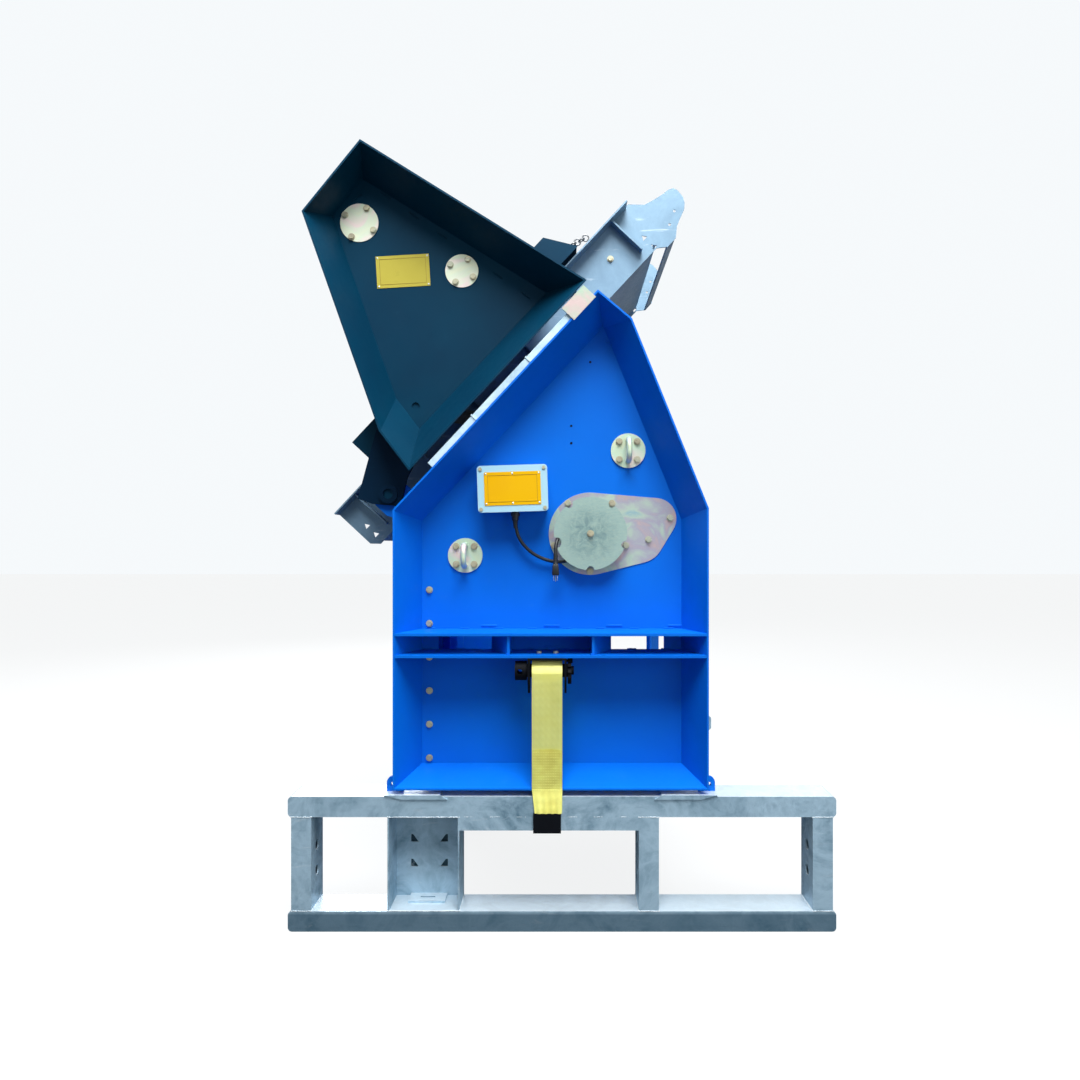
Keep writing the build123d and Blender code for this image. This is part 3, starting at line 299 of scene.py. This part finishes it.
def moulded(name, light, dark, rough):
    # moulded plastic or rubber with a fine spark-eroded grain
    material, tree, shader = newMaterial(name)
    place = addNode(tree, "TexCoord", output="Object")
    cloud = addNode(tree, "TexNoise", {"Vector": place, "Scale": 1000 / 30, "Detail": 4, "Roughness": 0.55})
    grain = addNode(tree, "TexNoise", {"Vector": place, "Scale": 1000 / 1.6, "Detail": 2, "Roughness": 0.55})
    feed(tree, shader, {
        "Base Color": addNode(tree, "ValToRGB", {"Fac": cloud}, stops=[(0.3, dark), (0.7, light)]),
        "Roughness": addNode(tree, "MapRange", {
            "Value": cloud, "From Min": 0.3, "From Max": 0.7, "To Min": rough - 0.06, "To Max": rough + 0.06}),
        "Normal": addNode(tree, "Bump", {"Height": grain, "Distance": 0.08 / 1000, "Strength": 0.5})})
    return material


blueEnamel = enamel("blueEnamel", "#0062CC", "#006AD6", "#2A78C2", 0.5, 0.12)
tealEnamel = enamel("tealEnamel", "#002C44", "#00364E", "#16425A", 0.48, 0.1)
darkTeal = enamel("darkTealEnamel", "#00182C", "#002038", "#12384E", 0.5, 0.08)
# the last figure is the strength of the painted shade on the lowest rail
skidZinc = galvanised("hotDipZinc", "#A4C0D2", "#5C7E92", 9, 0.4, 0.44, 0.75)
chuteZinc = galvanised("sheetZinc", "#7392A8", "#607E94", 5, 0.25, 0.5)
filmZinc = yellowZinc("yellowZincPlate", [
    (0.3, "#8FB4BC"), (0.44, "#B4C8B8"), (0.58, "#A8A6B6"), (0.72, "#C0AAA8")], 0.4, 0.38)
strawZinc = yellowZinc("strawZincPlate", [
    (0.3, "#D8DCB4"), (0.45, "#C2DCC4"), (0.6, "#E6D2CC"), (0.75, "#E0DCA8")], 0.3, 0.42)
# a darker copy of the straw zinc, painted shade to hold down the light falling on the latch plate
paintedShadeLatchZinc = yellowZinc("paintedShadeLatchZinc", [(0.3, "#A9B694"), (0.5, "#9DB4A0"), (0.66, "#BCA8A6")], 0.2, 0.45)
# a paler copy of the straw zinc, painted light to lift the hood covers out of the hood's shadow
paintedLightCoverZinc = yellowZinc("paintedLightCoverZinc", [(0.3, "#F0F2CE"), (0.5, "#E2EED6"), (0.66, "#F2E2DC")], 0.1, 0.42)
boltZinc = yellowZinc("boltZinc", [(0.3, "#A8A08A"), (0.5, "#C8C2A4"), (0.7, "#B2BEB0")], 0.55, 0.32)
oiledSteel = steel("oiledSteel", "#8A8C8E", "#606468", 0.9, 0.35)
castingPaint = steel("paintedCasting", "#3A4046", "#262B30", 0.2, 0.6, 3)
powderCoat = enamel("powderCoat", "#98C2D6", "#A6CCDC", "#86AABC", 0.5)
signPrint = enamel("printedPlate", "#D8A200", "#DEAE00", "#C49200", 0.4)
fadedPrint = enamel("fadedPrintedPlate", "#AEA23C", "#C0B44C", "#78742E", 0.5)
blackEnamel = steel("blackEnamel", "#04070F", "#010309", 0.0, 0.7, 4, 0.12)
pvcBlack = moulded("blackPvc", "#12181E", "#080C10", 0.45)

ribInk = moulded("printedInk", "#8A6A10", "#6E5208", 0.5)
brassPin = steel("nickelPin", "#E4E6E2", "#BCC0BA", 0.7, 0.3)
# a paler copy of the sheet zinc: painted light for the bearer's lit edge
paintedLightBearerZinc = galvanised("paintedLightBearerZinc", "#C4DCEA", "#88A8B8", 5, 0.2, 0.4)
shadedZinc = galvanised("shadedZinc", "#1E4252", "#12303E", 9, 0.2, 0.6)
weldZinc = galvanised("weldZinc", "#D6E0E6", "#9FB2BD", 6, 0.3, 0.5)


def wovenWebbing(name, face, shade, cellWide, cellHigh, relief):
    # woven polyester webbing: ribs across, dulled by dust, slight sheen from the yarn
    material, tree, shader = newMaterial(name)
    place = addNode(tree, "TexCoord", output="Object")
    bands = {"Vector": place, "Detail": 1.0, "Detail Scale": 2.0}
    ribs = addNode(tree, "TexWave", {**bands, "Scale": 1000 / cellHigh / 20, "Distortion": 0.4}, "Fac",
                   wave_type="BANDS", bands_direction="Z")
    yarns = addNode(tree, "TexWave", {**bands, "Scale": 1000 / cellWide / 20, "Distortion": 0.3}, "Fac",
                    wave_type="BANDS", bands_direction="X")
    weave = addNode(tree, "Math", {0: ribs, 1: yarns}, operation="MULTIPLY")
    dust = addNode(tree, "TexNoise", {"Vector": place, "Scale": 1000 / 60, "Detail": 5, "Roughness": 0.6})
    colour = addNode(tree, "ValToRGB", {"Fac": dust}, stops=[(0.3, shade), (0.6, face)])
    # painted shade: the weave's hollows darkened toward the shade colour
    hollow = addNode(tree, "MapRange", {"Value": weave, "To Min": 0.35, "To Max": 0})
    feed(tree, shader, {
        "Base Color": addNode(tree, "Mix", {0: hollow, 6: colour, 7: linear(shade)}, 2, data_type="RGBA"),
        "Roughness": 0.72,
        "Sheen Weight": 0.25,
        "Normal": addNode(tree, "Bump", {"Height": weave, "Distance": relief / 1000, "Strength": 0.9})})
    return material


# yarns drawn at twice their size, and the box of stitching 7.5 mm apart
webbing = wovenWebbing("polyesterWebbing", "#FFFF9C", "#FAF88E", 3.0, 4.0, 0.3)
sewnWebbing = wovenWebbing("sewnWebbing", "#FFFF90", "#E6DE6C", 7.5, 5.2, 0.6)


def scuffed(name, centre):
    # passivated disc, darker grey round its middle
    material, tree, shader = newMaterial(name)
    place = addNode(tree, "TexCoord", output="Object")
    centred = addNode(tree, "VectorMath", {0: place, 1: centre}, operation="SUBTRACT")
    reach = addNode(tree, "VectorMath", {0: centred}, "Value", operation="LENGTH")
    patch = addNode(tree, "TexNoise", {
        "Vector": place, "Scale": 1000 / 34, "Detail": 6, "Roughness": 0.7, "Distortion": 1.0})
    leaning = addNode(tree, "Mapping", {"Vector": place, "Scale": (1, 1, 5), "Rotation": (0, 0.5, 0)})
    scratch = addNode(tree, "TexNoise", {
        "Vector": leaning, "Scale": 1000 / 16, "Detail": 6, "Roughness": 0.75, "Distortion": 0.8})
    middleDark = addNode(tree, "MapRange", {
        "Value": reach, "From Min": 0.045, "From Max": 0.105, "To Min": 0.75, "To Max": 0.1})
    uneven = addNode(tree, "MapRange", {"Value": patch, "From Min": 0.35, "From Max": 0.62})
    middleDarkPatches = addNode(tree, "Math", {0: middleDark, 1: uneven}, operation="MULTIPLY")
    plate = addNode(tree, "ValToRGB", {"Fac": scratch}, stops=[
        (0.3, "#8FB0AC"), (0.55, "#A4BEB6"), (0.8, "#B4C2A4")])
    middleDarkened = addNode(tree, "Mix", {0: middleDarkPatches, 6: plate, 7: linear("#587880")}, 2, data_type="RGBA")
    bright = addNode(tree, "MapRange", {"Value": scratch, "From Min": 0.64, "From Max": 0.74, "To Max": 0.6})
    feed(tree, shader, {
        "Base Color": addNode(tree, "Mix", {0: bright, 6: middleDarkened, 7: linear("#E2ECE0")}, 2, data_type="RGBA"),
        "Metallic": 0.45,
        "Roughness": addNode(tree, "MapRange", {
            "Value": patch, "From Min": 0.3, "From Max": 0.7, "To Min": 0.3, "To Max": 0.52}),
        "Normal": addNode(tree, "Bump", {"Height": scratch, "Distance": 0.1 / 1000, "Strength": 0.4})})
    return material


scuffedDisc = scuffed("scuffedZincDisc", (0.097, -0.553, 1.308))

look = {
    "galvanised": skidZinc, "blue_paint": blueEnamel, "hood_paint": tealEnamel, "zinc": filmZinc,
    "bare_steel": oiledSteel, "cast": castingPaint, "box_paint": powderCoat, "yellow_plate": signPrint,
    "black_plastic": pvcBlack, "cord_rubber": pvcBlack, "webbing": signPrint, "black_steel": blackEnamel,
}
slotOf = {entry["node"]: entry["material_slot"] for entry in frame["record"]["subparts"]}
special = {
    "chute_sides": chuteZinc, "chute_bed": chuteZinc, "cover_bolts": boltZinc, "hood_cover_bolts": boltZinc,
    "small_screws": boltZinc, "latch_plate": paintedShadeLatchZinc, "eye_plates": strawZinc, "hood_covers": paintedLightCoverZinc,
    "hood_plate": fadedPrint, "eye_u_bolts": strawZinc, "safety_chain": oiledSteel, "cord_disc": strawZinc,
    "hood_pins": tealEnamel, "hood_arms": darkTeal,
}
for name, node in nodes.items():
    node.data.materials.clear()
    node.data.materials.append(special.get(name, look[slotOf[name]]))
print("materials on", len(nodes), "CAD nodes")


plug = {"x": -0.0219, "y": -0.565, "bodyTop": 1.2037, "bodyBottom": 1.1657,
        "halfWide": 0.012, "halfDeep": 0.011, "ribs": 5, "ribStep": 0.0052}
leadData.materials.append(pvcBlack)
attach(leadObject, "frame")
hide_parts("power_cord", "cord_coil")

mesh = bmesh.new()
addBox(mesh, (plug["x"] - plug["halfWide"], plug["y"] - plug["halfDeep"], plug["bodyBottom"]),
       (plug["x"] + plug["halfWide"], plug["y"] + plug["halfDeep"], plug["bodyTop"]), 0.0035, 3)
for vertex in mesh.verts:
    rise = (vertex.co.z - plug["bodyBottom"]) / (plug["bodyTop"] - plug["bodyBottom"])
    waist = 1 - 0.2 * rise ** 2
    vertex.co.x = plug["x"] + (vertex.co.x - plug["x"]) * waist
    vertex.co.y = plug["y"] + (vertex.co.y - plug["y"]) * waist
for side in (-1, 1):
    for i in range(plug["ribs"]):
        z = plug["bodyBottom"] + 0.009 + plug["ribStep"] * i
        edgeX = plug["x"] + side * (plug["halfWide"] - 0.0006 * i)
        addBox(mesh, (edgeX - 0.001, plug["y"] - 0.007, z),
               (edgeX + 0.001, plug["y"] + 0.007, z + 0.0022), 0.0006, 1)
profile = [(0, 0), (0, 0.0089), (0.006, 0.0087)]
for i in range(5):
    profile += [(0.008 + 0.006 * i, 0.0084 - 0.0003 * i), (0.0095 + 0.006 * i, 0.0073 - 0.0001 * i),
                (0.0115 + 0.006 * i, 0.0073 - 0.0001 * i), (0.013 + 0.006 * i, 0.0082 - 0.0003 * i)]
profile += [(0.040, 0.0064), (0.040, 0.0)]
turned(mesh, profile, (plug["x"], plug["y"], plug["bodyTop"] - 0.004), (plug["x"], plug["y"], 1.3), 24)
plugBody = finish(mesh, "plugBody", "frame", [pvcBlack], 45)

mesh = bmesh.new()
for side in (-1, 1):
    addBox(mesh, (plug["x"] + side * 0.00625 - 0.00075, plug["y"] - 0.006, plug["bodyBottom"] - 0.018),
           (plug["x"] + side * 0.00625 + 0.00075, plug["y"], plug["bodyBottom"] + 0.002), 0.0003, 1)
turned(mesh, [(0, 0), (0.0005, 0.0016), (0.002, 0.0024), (0.023, 0.0024), (0.023, 0)],
       (plug["x"], plug["y"] + 0.006, plug["bodyBottom"] - 0.021), (plug["x"], plug["y"] + 0.006, 1.2), 16)
plugPins = finish(mesh, "plugPins", "frame", [brassPin], 45)
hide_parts("power_plug")

mesh = bmesh.new()
profile = [(0, 0), (0, 0.0118), (0.004, 0.0118), (0.005, 0.0102)]
for i in range(4):
    profile += [(0.007 + 0.006 * i, 0.0098 - 0.0008 * i), (0.0085 + 0.006 * i, 0.0086 - 0.0006 * i),
                (0.0105 + 0.006 * i, 0.0086 - 0.0006 * i), (0.012 + 0.006 * i, 0.0094 - 0.0008 * i)]
profile += [(0.032, 0.0064), (0.032, 0)]
turned(mesh, profile, powerLead["first"][0], (-0.1588, -0.5414, 1.3281), 24)
glandRelief = finish(mesh, "glandRelief", "frame", [pvcBlack], 45)
print("power lead and plug")


dish = {
    "x": powerLead["centre"][0], "z": powerLead["centre"][1], "face": -0.5536, "radius": 0.125, "thick": 0.0022,
    "notches": 5, "notchAt": 0.124, "notch": 0.013, "gate": 0.0175, "gateX": -0.0189, "gateZ": 1.2777,
    "steps": 240,
    "rings": ((0.0016, 0.0), (0.004, 0.0), (0.018, 0.0008), (0.022, 0.0006), (0.022, 0.0), (0.014, -0.0005),
              (0.008, -0.0006)),
}
mesh = bmesh.new()
bmesh.ops.create_circle(mesh, cap_ends=True, radius=dish["radius"], segments=dish["steps"])
bmesh.ops.rotate(mesh, cent=(0, 0, 0), matrix=Matrix.Rotation(math.radians(90), 3, "X"), verts=mesh.verts)
bites = [(dish["notchAt"] * math.cos(math.radians(angle)), dish["notchAt"] * math.sin(math.radians(angle)),
          dish["notch"]) for angle in range(-90, 270, 360 // dish["notches"])]
bites.append((dish["gateX"] - dish["x"], dish["gateZ"] - dish["z"], dish["gate"]))
for vertex in mesh.verts:
    ray = Vector((vertex.co.x, vertex.co.z)).normalized()
    reach = dish["radius"]
    for biteX, biteZ, biteR in bites:
        along = ray.x * biteX + ray.y * biteZ
        across = abs(ray.x * biteZ - ray.y * biteX)
        if along > 0 and across < biteR:
            reach = min(reach, along - math.sqrt(biteR ** 2 - across ** 2))
    vertex.co.x, vertex.co.z = ray.x * reach, ray.y * reach
mesh.faces.ensure_lookup_table()
face = mesh.faces[0]
for width, lift in dish["rings"]:  # rings in from the edge, each pressed out by its lift
    bmesh.ops.inset_region(mesh, faces=[face], thickness=width, depth=0, use_even_offset=False)
    bmesh.ops.translate(mesh, vec=(0, -lift, 0), verts=face.verts)
bmesh.ops.translate(mesh, vec=(dish["x"], dish["face"], dish["z"]), verts=mesh.verts)
mesh.faces.ensure_lookup_table()
mesh.normal_update()
if mesh.faces[0].normal.y > 0:
    bmesh.ops.reverse_faces(mesh, faces=mesh.faces)
bmesh.ops.solidify(mesh, geom=mesh.faces[:], thickness=dish["thick"])
disc = finish(mesh, "leadDisc", "frame", [scuffedDisc], 30)
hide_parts("cord_disc")
print("disc")


signs = [
    {"name": "controlSign", "centre": (-0.166, -0.5958, 1.459), "wide": 0.190, "high": 0.112, "tilt": -1.8,
     "body": "frame", "rivets": 3},
    {"name": "hoodSign", "centre": (-0.5528, -0.5017, 2.221), "wide": 0.185, "high": 0.111, "tilt": -3.3,
     "body": "hood", "rivets": 2},
]
plateTrim = {"rivetInset": 0.006, "sideInset": 0.0125, "topInset": 0.0115, "line": 0.0009}
for sign in signs:
    turn = Matrix.Rotation(math.radians(sign["tilt"]), 3, "Y")
    halfWide, halfHigh = sign["wide"] / 2, sign["high"] / 2
    mesh = bmesh.new()
    for i in range(sign["rivets"]):
        x = (-1 + 2 * i / (sign["rivets"] - 1)) * (halfWide - plateTrim["rivetInset"])
        for z in (-halfHigh + plateTrim["rivetInset"], halfHigh - plateTrim["rivetInset"]):
            at = Vector(sign["centre"]) + turn @ Vector((x, 0, z))
            turned(mesh, [(0, 0), (0, 0.0034), (0.0008, 0.0033), (0.0016, 0.0022), (0.002, 0)],
                   at + Vector((0, 0.0008, 0)), at + Vector((0, -0.02, 0)), 14)
    finish(mesh, sign["name"] + "Rivets", sign["body"], [brassPin], 40)
    mesh = bmesh.new()
    atX, atZ, line = halfWide - plateTrim["sideInset"], halfHigh - plateTrim["topInset"], plateTrim["line"]
    across, upright = (sign["wide"] - 0.026, line), (line, sign["high"] - 0.0225)
    for x, z, (wide, high) in ((0, atZ, across), (0, -atZ, across), (atX, 0, upright), (-atX, 0, upright)):
        made = addBox(mesh, (x - wide / 2, -0.0004, z - high / 2), (x + wide / 2, 0.0004, z + high / 2))
        bmesh.ops.rotate(mesh, cent=(0, 0, 0), matrix=turn, verts=made)
        bmesh.ops.translate(mesh, vec=sign["centre"], verts=made)
    finish(mesh, sign["name"] + "Border", sign["body"], [ribInk], 40)
print("signs")


strap = {
    "left": -0.099, "right": 0.001, "axisY": -0.620, "axisZ": 0.8525, "wrap": 0.0355, "face": -0.6556,
    "thick": 0.0024, "sewnTop": 0.597, "sewnThick": 0.0022, "bottom": 0.392,
    "gatherFrom": 0.470, "gatherOver": 0.078, "across": 40, "along": 150, "sewnAlong": 60, "startAngle": -40,
}
rollLayers = {"count": 3, "inner": 0.0238, "step": 0.0036, "thick": 0.0026, "width": 0.0965}


def strapLine(distance):
    # where the strap's middle is, a given distance from where it leaves the spool's back
    turn = math.radians(180 - strap["startAngle"])
    arc = strap["wrap"] * turn
    if distance < arc:
        angle = math.radians(strap["startAngle"]) + distance / strap["wrap"]
        return (strap["axisY"] + strap["wrap"] * math.cos(angle),
                strap["axisZ"] + strap["wrap"] * math.sin(angle))
    return strap["axisY"] - strap["wrap"], strap["axisZ"] - (distance - arc)


def gather(z):
    # how far the strap is gathered where it goes into its hook, 0 to 1
    return max(0.0, min(1.0, (strap["gatherFrom"] - z) / strap["gatherOver"]))


def shapeStrap(mesh, lineOf, lift, narrow):
    for vertex in mesh.verts:
        across, along = vertex.co.x, vertex.co.y
        y, z = lineOf(along)
        pull = gather(z)
        middle = (strap["left"] + strap["right"]) / 2
        half = (strap["right"] - strap["left"]) / 2 * narrow * (1 - 0.1 * pull)
        fold = math.sin(across * 13 + 0.6) * 0.0017 * pull + math.sin(across * 5) * 0.0006
        below = max(0.0, strap["sewnTop"] - z)
        sway = 0.004 * math.sin(below * 9)
        vertex.co = Vector((middle + across * half + sway * pull, y - lift + fold, z))


mesh = bmesh.new()
bmesh.ops.create_grid(mesh, x_segments=strap["across"], y_segments=strap["along"], size=1)
runLength = strap["wrap"] * math.radians(180 - strap["startAngle"]) + strap["axisZ"] - strap["bottom"]
for vertex in mesh.verts:
    vertex.co.y = (vertex.co.y + 1) / 2 * runLength
shapeStrap(mesh, strapLine, 0, 1)
bmesh.ops.solidify(mesh, geom=mesh.faces[:], thickness=strap["thick"])
mirrorY(mesh)
strapRun = finish(mesh, "strapRun", "frame", [webbing], 50)

mesh = bmesh.new()
bmesh.ops.create_grid(mesh, x_segments=strap["across"], y_segments=strap["sewnAlong"], size=1)
sewn = strap["sewnTop"] - strap["bottom"]
for vertex in mesh.verts:
    crown = 0.004 * (1 - vertex.co.x ** 2) * (1 if vertex.co.y < -0.99 else 0)
    vertex.co.y = (vertex.co.y + 1) / 2 * sewn - crown
shapeStrap(mesh, lambda along: (strap["face"] - 0.0006, strap["sewnTop"] - along), strap["sewnThick"], 0.975)
bmesh.ops.solidify(mesh, geom=mesh.faces[:], thickness=strap["sewnThick"])
mirrorY(mesh)
finish(mesh, "strapSewn", "frame", [sewnWebbing], 50)

# layers of webbing under the outer turn of the roll, seen at its ends
mesh = bmesh.new()
for i in range(rollLayers["count"]):
    inner = rollLayers["inner"] + rollLayers["step"] * i
    outer, width = inner + rollLayers["thick"], rollLayers["width"]
    turned(mesh, [(0, inner), (0, outer), (width, outer), (width, inner), (0, inner)],
           (strap["left"] + 0.0018, strap["axisY"], strap["axisZ"]),
           (strap["right"], strap["axisY"], strap["axisZ"]), 48)
mirrorY(mesh)
finish(mesh, "strapRoll", "frame", [webbing], 40)
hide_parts("straps")

# rows of stitching across the doubled part
stitches = {"rows": 15, "perRow": 12, "rowStep": 0.0088, "span": 0.088, "inset": 0.006,
            "length": 0.0046, "thick": 0.0011}
mesh = bmesh.new()
for row in range(stitches["rows"]):
    z = strap["sewnTop"] - stitches["inset"] - stitches["rowStep"] * row
    for i in range(stitches["perRow"]):
        x = strap["left"] + stitches["inset"] + (stitches["span"] / (stitches["perRow"] - 1)) * i
        addBox(mesh, (x - stitches["length"] / 2, strap["face"] - 0.0042, z - stitches["thick"] / 2),
               (x + stitches["length"] / 2, strap["face"] - 0.0025, z + stitches["thick"] / 2), 0.0004, 1)
mirrorY(mesh)
finish(mesh, "strapStitches", "frame", [webbing], 60)
print("straps")


def weldBead(mesh, start, end, bead, wander=0.0004):
    # a fillet weld laid as overlapping ripples between two points
    start, end = Vector(start), Vector(end)
    count = max(2, round((end - start).length / (bead * 1.15)))
    for i in range(count + 1):
        at = start.lerp(end, i / count)
        at += Vector([random.uniform(-wander, wander) for _ in range(3)])
        size = bead * random.uniform(0.86, 1.12)
        made = bmesh.ops.create_icosphere(mesh, subdivisions=1, radius=size)["verts"]
        bmesh.ops.translate(mesh, vec=at, verts=made)


def stitchWeld(mesh, start, end, length, gap, offset, bead):
    # stitches of weld along an edge with bare gaps between them, the first one offset from the start
    start, end = Vector(start), Vector(end)
    total = (end - start).length
    way = (end - start).normalized()
    at = offset
    while at < total:
        weldBead(mesh, start + way * at, start + way * min(total, at + length), bead)
        at += length + gap


def closedRuns(points):
    return list(zip(points, points[1:] + points[:1]))


# where the casing's rim meets its plate, and the shelves meet both
casingPlate = [(-0.492, 0.505), (-0.492, 1.358), (0.113, 2.010), (0.171, 1.962), (0.421, 1.379), (0.421, 0.505)]
mesh = bmesh.new()
for index, (a, b) in enumerate(closedRuns(casingPlate)):
    stitchWeld(mesh, (a[0], -0.5015, a[1]), (b[0], -0.5015, b[1]), 0.034, 0.105, 0.03 + 0.012 * index, 0.003)
for z, left, right in ((0.9085, -0.520, 0.450), (0.8955, -0.510, 0.440), (0.9805, -0.510, 0.440)):
    stitchWeld(mesh, (left, -0.5025, z), (right, -0.5025, z), 0.028, 0.09, 0.04, 0.0028)
for x in (-0.177, 0.103):
    for z in (0.909, 0.9695):
        stitchWeld(mesh, (x - 0.006, -0.505, z), (x - 0.006, -0.640, z), 0.03, 0.03, 0.004, 0.0026)
mirrorY(mesh)
finish(mesh, "casingWelds", "frame", [blueEnamel], 60)
print("casing welds")

# the hood's chamfered rim against its plate
mesh = bmesh.new()
hoodRing = [(226, 147), (850, 147), (757, 848), (546, 879), (250, 262)]
for index, (a, b) in enumerate(closedRuns(hoodRing)):
    stitchWeld(mesh, slopePlace(a[0], a[1], -501.5), slopePlace(b[0], b[1], -501.5), 0.034, 0.085,
               0.02 + 0.015 * index, 0.0028)
mirrorY(mesh)
finish(mesh, "hoodWelds", "hood", [tealEnamel], 60)

# the skid's tube joints, on the long near frame and the shorter far one
skidJoints = {"channel": (-0.573, -0.337), "barFrom": -0.330, "barTo": 0.250, "barTop": 0.3765,
              "levels": (0.0675, 0.3755), "face": 0.6488, "inner": 0.530}
skidFrames = [
    {"side": -1, "posts": [(-0.889, -0.823), (0.252, 0.318), (0.823, 0.889)]},
    {"side": 1, "posts": [(-0.709, -0.643), (0.252, 0.318), (0.643, 0.709)]},
]
mesh = bmesh.new()
for skid in skidFrames:
    face, depth = skid["side"] * skidJoints["face"], skid["side"] * skidJoints["inner"]
    edge = skid["side"] * (skidJoints["face"] - 0.0003)
    for left, right in skid["posts"] + [skidJoints["channel"]]:
        for z in skidJoints["levels"]:
            weldBead(mesh, (left, face, z), (right, face, z), 0.0026, 0.0007)
            weldBead(mesh, (left, edge, z), (left, depth, z), 0.0030, 0.0008)
            weldBead(mesh, (right, edge, z), (right, depth, z), 0.0030, 0.0008)
    stitchWeld(mesh, (skidJoints["barFrom"], edge, skidJoints["barTop"]),
               (skidJoints["barTo"], edge, skidJoints["barTop"]), 0.030, 0.055, 0.01, 0.0022)
finish(mesh, "skidWelds", "frame", [weldZinc], 60)

# tongues of the shelves that come through the side plate, painted over
tongue = {"width": 0.054, "height": 0.0075, "front": -0.5024, "back": -0.4985, "upper": 0.9850, "lower": 0.9128,
          "middle": -0.036, "sides": (-0.254, 0.182, 0.395)}
mesh = bmesh.new()
for x, z in [(tongue["middle"], tongue["lower"]), (tongue["middle"], tongue["upper"])] + [
        (side, tongue["upper"]) for side in tongue["sides"]]:
    addBox(mesh, (x - tongue["width"] / 2, tongue["front"], z),
           (x + tongue["width"] / 2, tongue["back"], z + tongue["height"]), 0.0012, 2)
mirrorY(mesh)
finish(mesh, "shelfTongues", "frame", [blueEnamel], 50)

# bright edge of the chute's bearer, seen between the hood and the slope, its zinc painted pale as if lit
bearer = {"from": 190, "to": 868, "top": 22, "y": -645, "thick": 3, "joints": (403, 664)}
mesh = bmesh.new()
for left, right, top, y in [(bearer["from"], bearer["to"], bearer["top"], bearer["y"])] + [
        (joint - 3, joint + 3, bearer["top"] + 3, bearer["y"] - 3) for joint in bearer["joints"]]:
    made = addBox(mesh, (left / 1000, 0, 0.0004), (right / 1000, bearer["thick"] / 1000, top / 1000),
                  0.0008, 1)
    for vertex in made:
        vertex.co = slopePlace(vertex.co.x * 1000, vertex.co.z * 1000, y + vertex.co.y * 1000)
mirrorY(mesh)
finish(mesh, "chuteBearers", "frame", [paintedLightBearerZinc], 40)

# dark strip behind the channel posts' notches, painted shade so the notches look dark
notchShade = {"left": -0.565, "right": -0.345, "bottom": 0.075, "top": 0.365, "y": -0.5235, "thick": 0.002}
mesh = bmesh.new()
addBox(mesh, (notchShade["left"], notchShade["y"], notchShade["bottom"]),
       (notchShade["right"], notchShade["y"] + notchShade["thick"], notchShade["top"]), 0.0006, 1)
mirrorY(mesh)
finish(mesh, "channelNotchShades", "frame", [shadedZinc], 40)

# two plugged pilot holes in the plate, one near the peak
mesh = bmesh.new()
for x, z in ((0.032, 1.683), (0.032, 1.623), (0.098, 1.905)):
    turned(mesh, [(0, 0), (0, 0.0042), (0.0012, 0.0036), (0.0012, 0)], (x, -0.4999, z), (x, -0.52, z), 16)
finish(mesh, "pilotHoles", "frame", [blackEnamel], 30)
print("welds")


studio = {
    "floor": "#F6F7F7", "glow": 0.92, "bounce": "#5C6266", "world": 0.30, "mirror": 0.7, "backdrop": 0.97,
    "key": 600, "top": 230, "fill": 60, "inside": 3.5, "rear": 260, "left": 70,
}
floorMesh = bmesh.new()
bmesh.ops.create_grid(floorMesh, x_segments=1, y_segments=1, size=30)
floorData = bpy.data.meshes.new("floor")
floorMesh.to_mesh(floorData)
floorMesh.free()
floor = bpy.data.objects.new("floor", floorData)
bpy.context.scene.collection.objects.link(floor)
floorMaterial, floorTree, floorShader = newMaterial("paleFloor")
# near white to look at, dull in what it throws back, as a sheet of pale card far below the lights
looked = addNode(floorTree, "LightPath", output="Is Camera Ray")
feed(floorTree, floorShader, {
    "Base Color": addNode(floorTree, "Mix", {
        0: looked, 6: linear(studio["bounce"]), 7: linear("#5C5E60")}, 2, data_type="RGBA"),
    "Emission Strength": addNode(floorTree, "MapRange", {"Value": looked, "To Max": studio["glow"]}),
    "Emission Color": linear(studio["floor"]),
    "Roughness": 0.9,
    "Specular IOR Level": 0.1})
floorData.materials.append(floorMaterial)

world = bpy.data.worlds.new("studioWorld")
world.use_nodes = True
worldTree = world.node_tree
mirrored = addNode(worldTree, "MapRange", {
    "Value": addNode(worldTree, "LightPath", output="Is Glossy Ray"),
    "To Min": studio["world"], "To Max": studio["mirror"]})
watched = addNode(worldTree, "MapRange", {
    "Value": addNode(worldTree, "LightPath", output="Is Camera Ray"), "To Max": studio["backdrop"]})
feed(worldTree, worldTree.nodes["Background"], {
    "Color": (0.95, 0.98, 1.0, 1),
    "Strength": addNode(worldTree, "Math", {0: mirrored, 1: watched}, operation="MAXIMUM")})
bpy.context.scene.world = world
bpy.context.scene.view_settings.view_transform = "Standard"


def softLight(name, size, power, place, target):
    data = bpy.data.lights.new(name, "AREA")
    data.shape = "DISK"
    data.size = size
    data.energy = power
    lamp = bpy.data.objects.new(name, data)
    lamp.location = place
    lamp.rotation_euler = (Vector(target) - Vector(place)).to_track_quat("-Z", "Y").to_euler()
    bpy.context.scene.collection.objects.link(lamp)


softLight("keySoftbox", 3.5, studio["key"], (0.3, -3.5, 6.3), (0, -0.5, 1.1))
softLight("topSoftbox", 3, studio["top"], (0.5, -1.0, 6.3), (0, -0.4, 1))
softLight("fillSoftbox", 4, studio["fill"], (3.5, -5, 1.8), (0, 0, 1.1))
softLight("rearSoftbox", 4, studio["rear"], (-2.0, 5.5, 4.2), (0, 0.5, 1.2))
softLight("leftSoftbox", 3, studio["left"], (-5.5, 1.0, 2.8), (0, 0, 1.2))
softLight("insideLight", 0.25, studio["inside"], (-0.05, 0.1, 1.12), (-0.25, 0.45, 0.8))
print("studio")
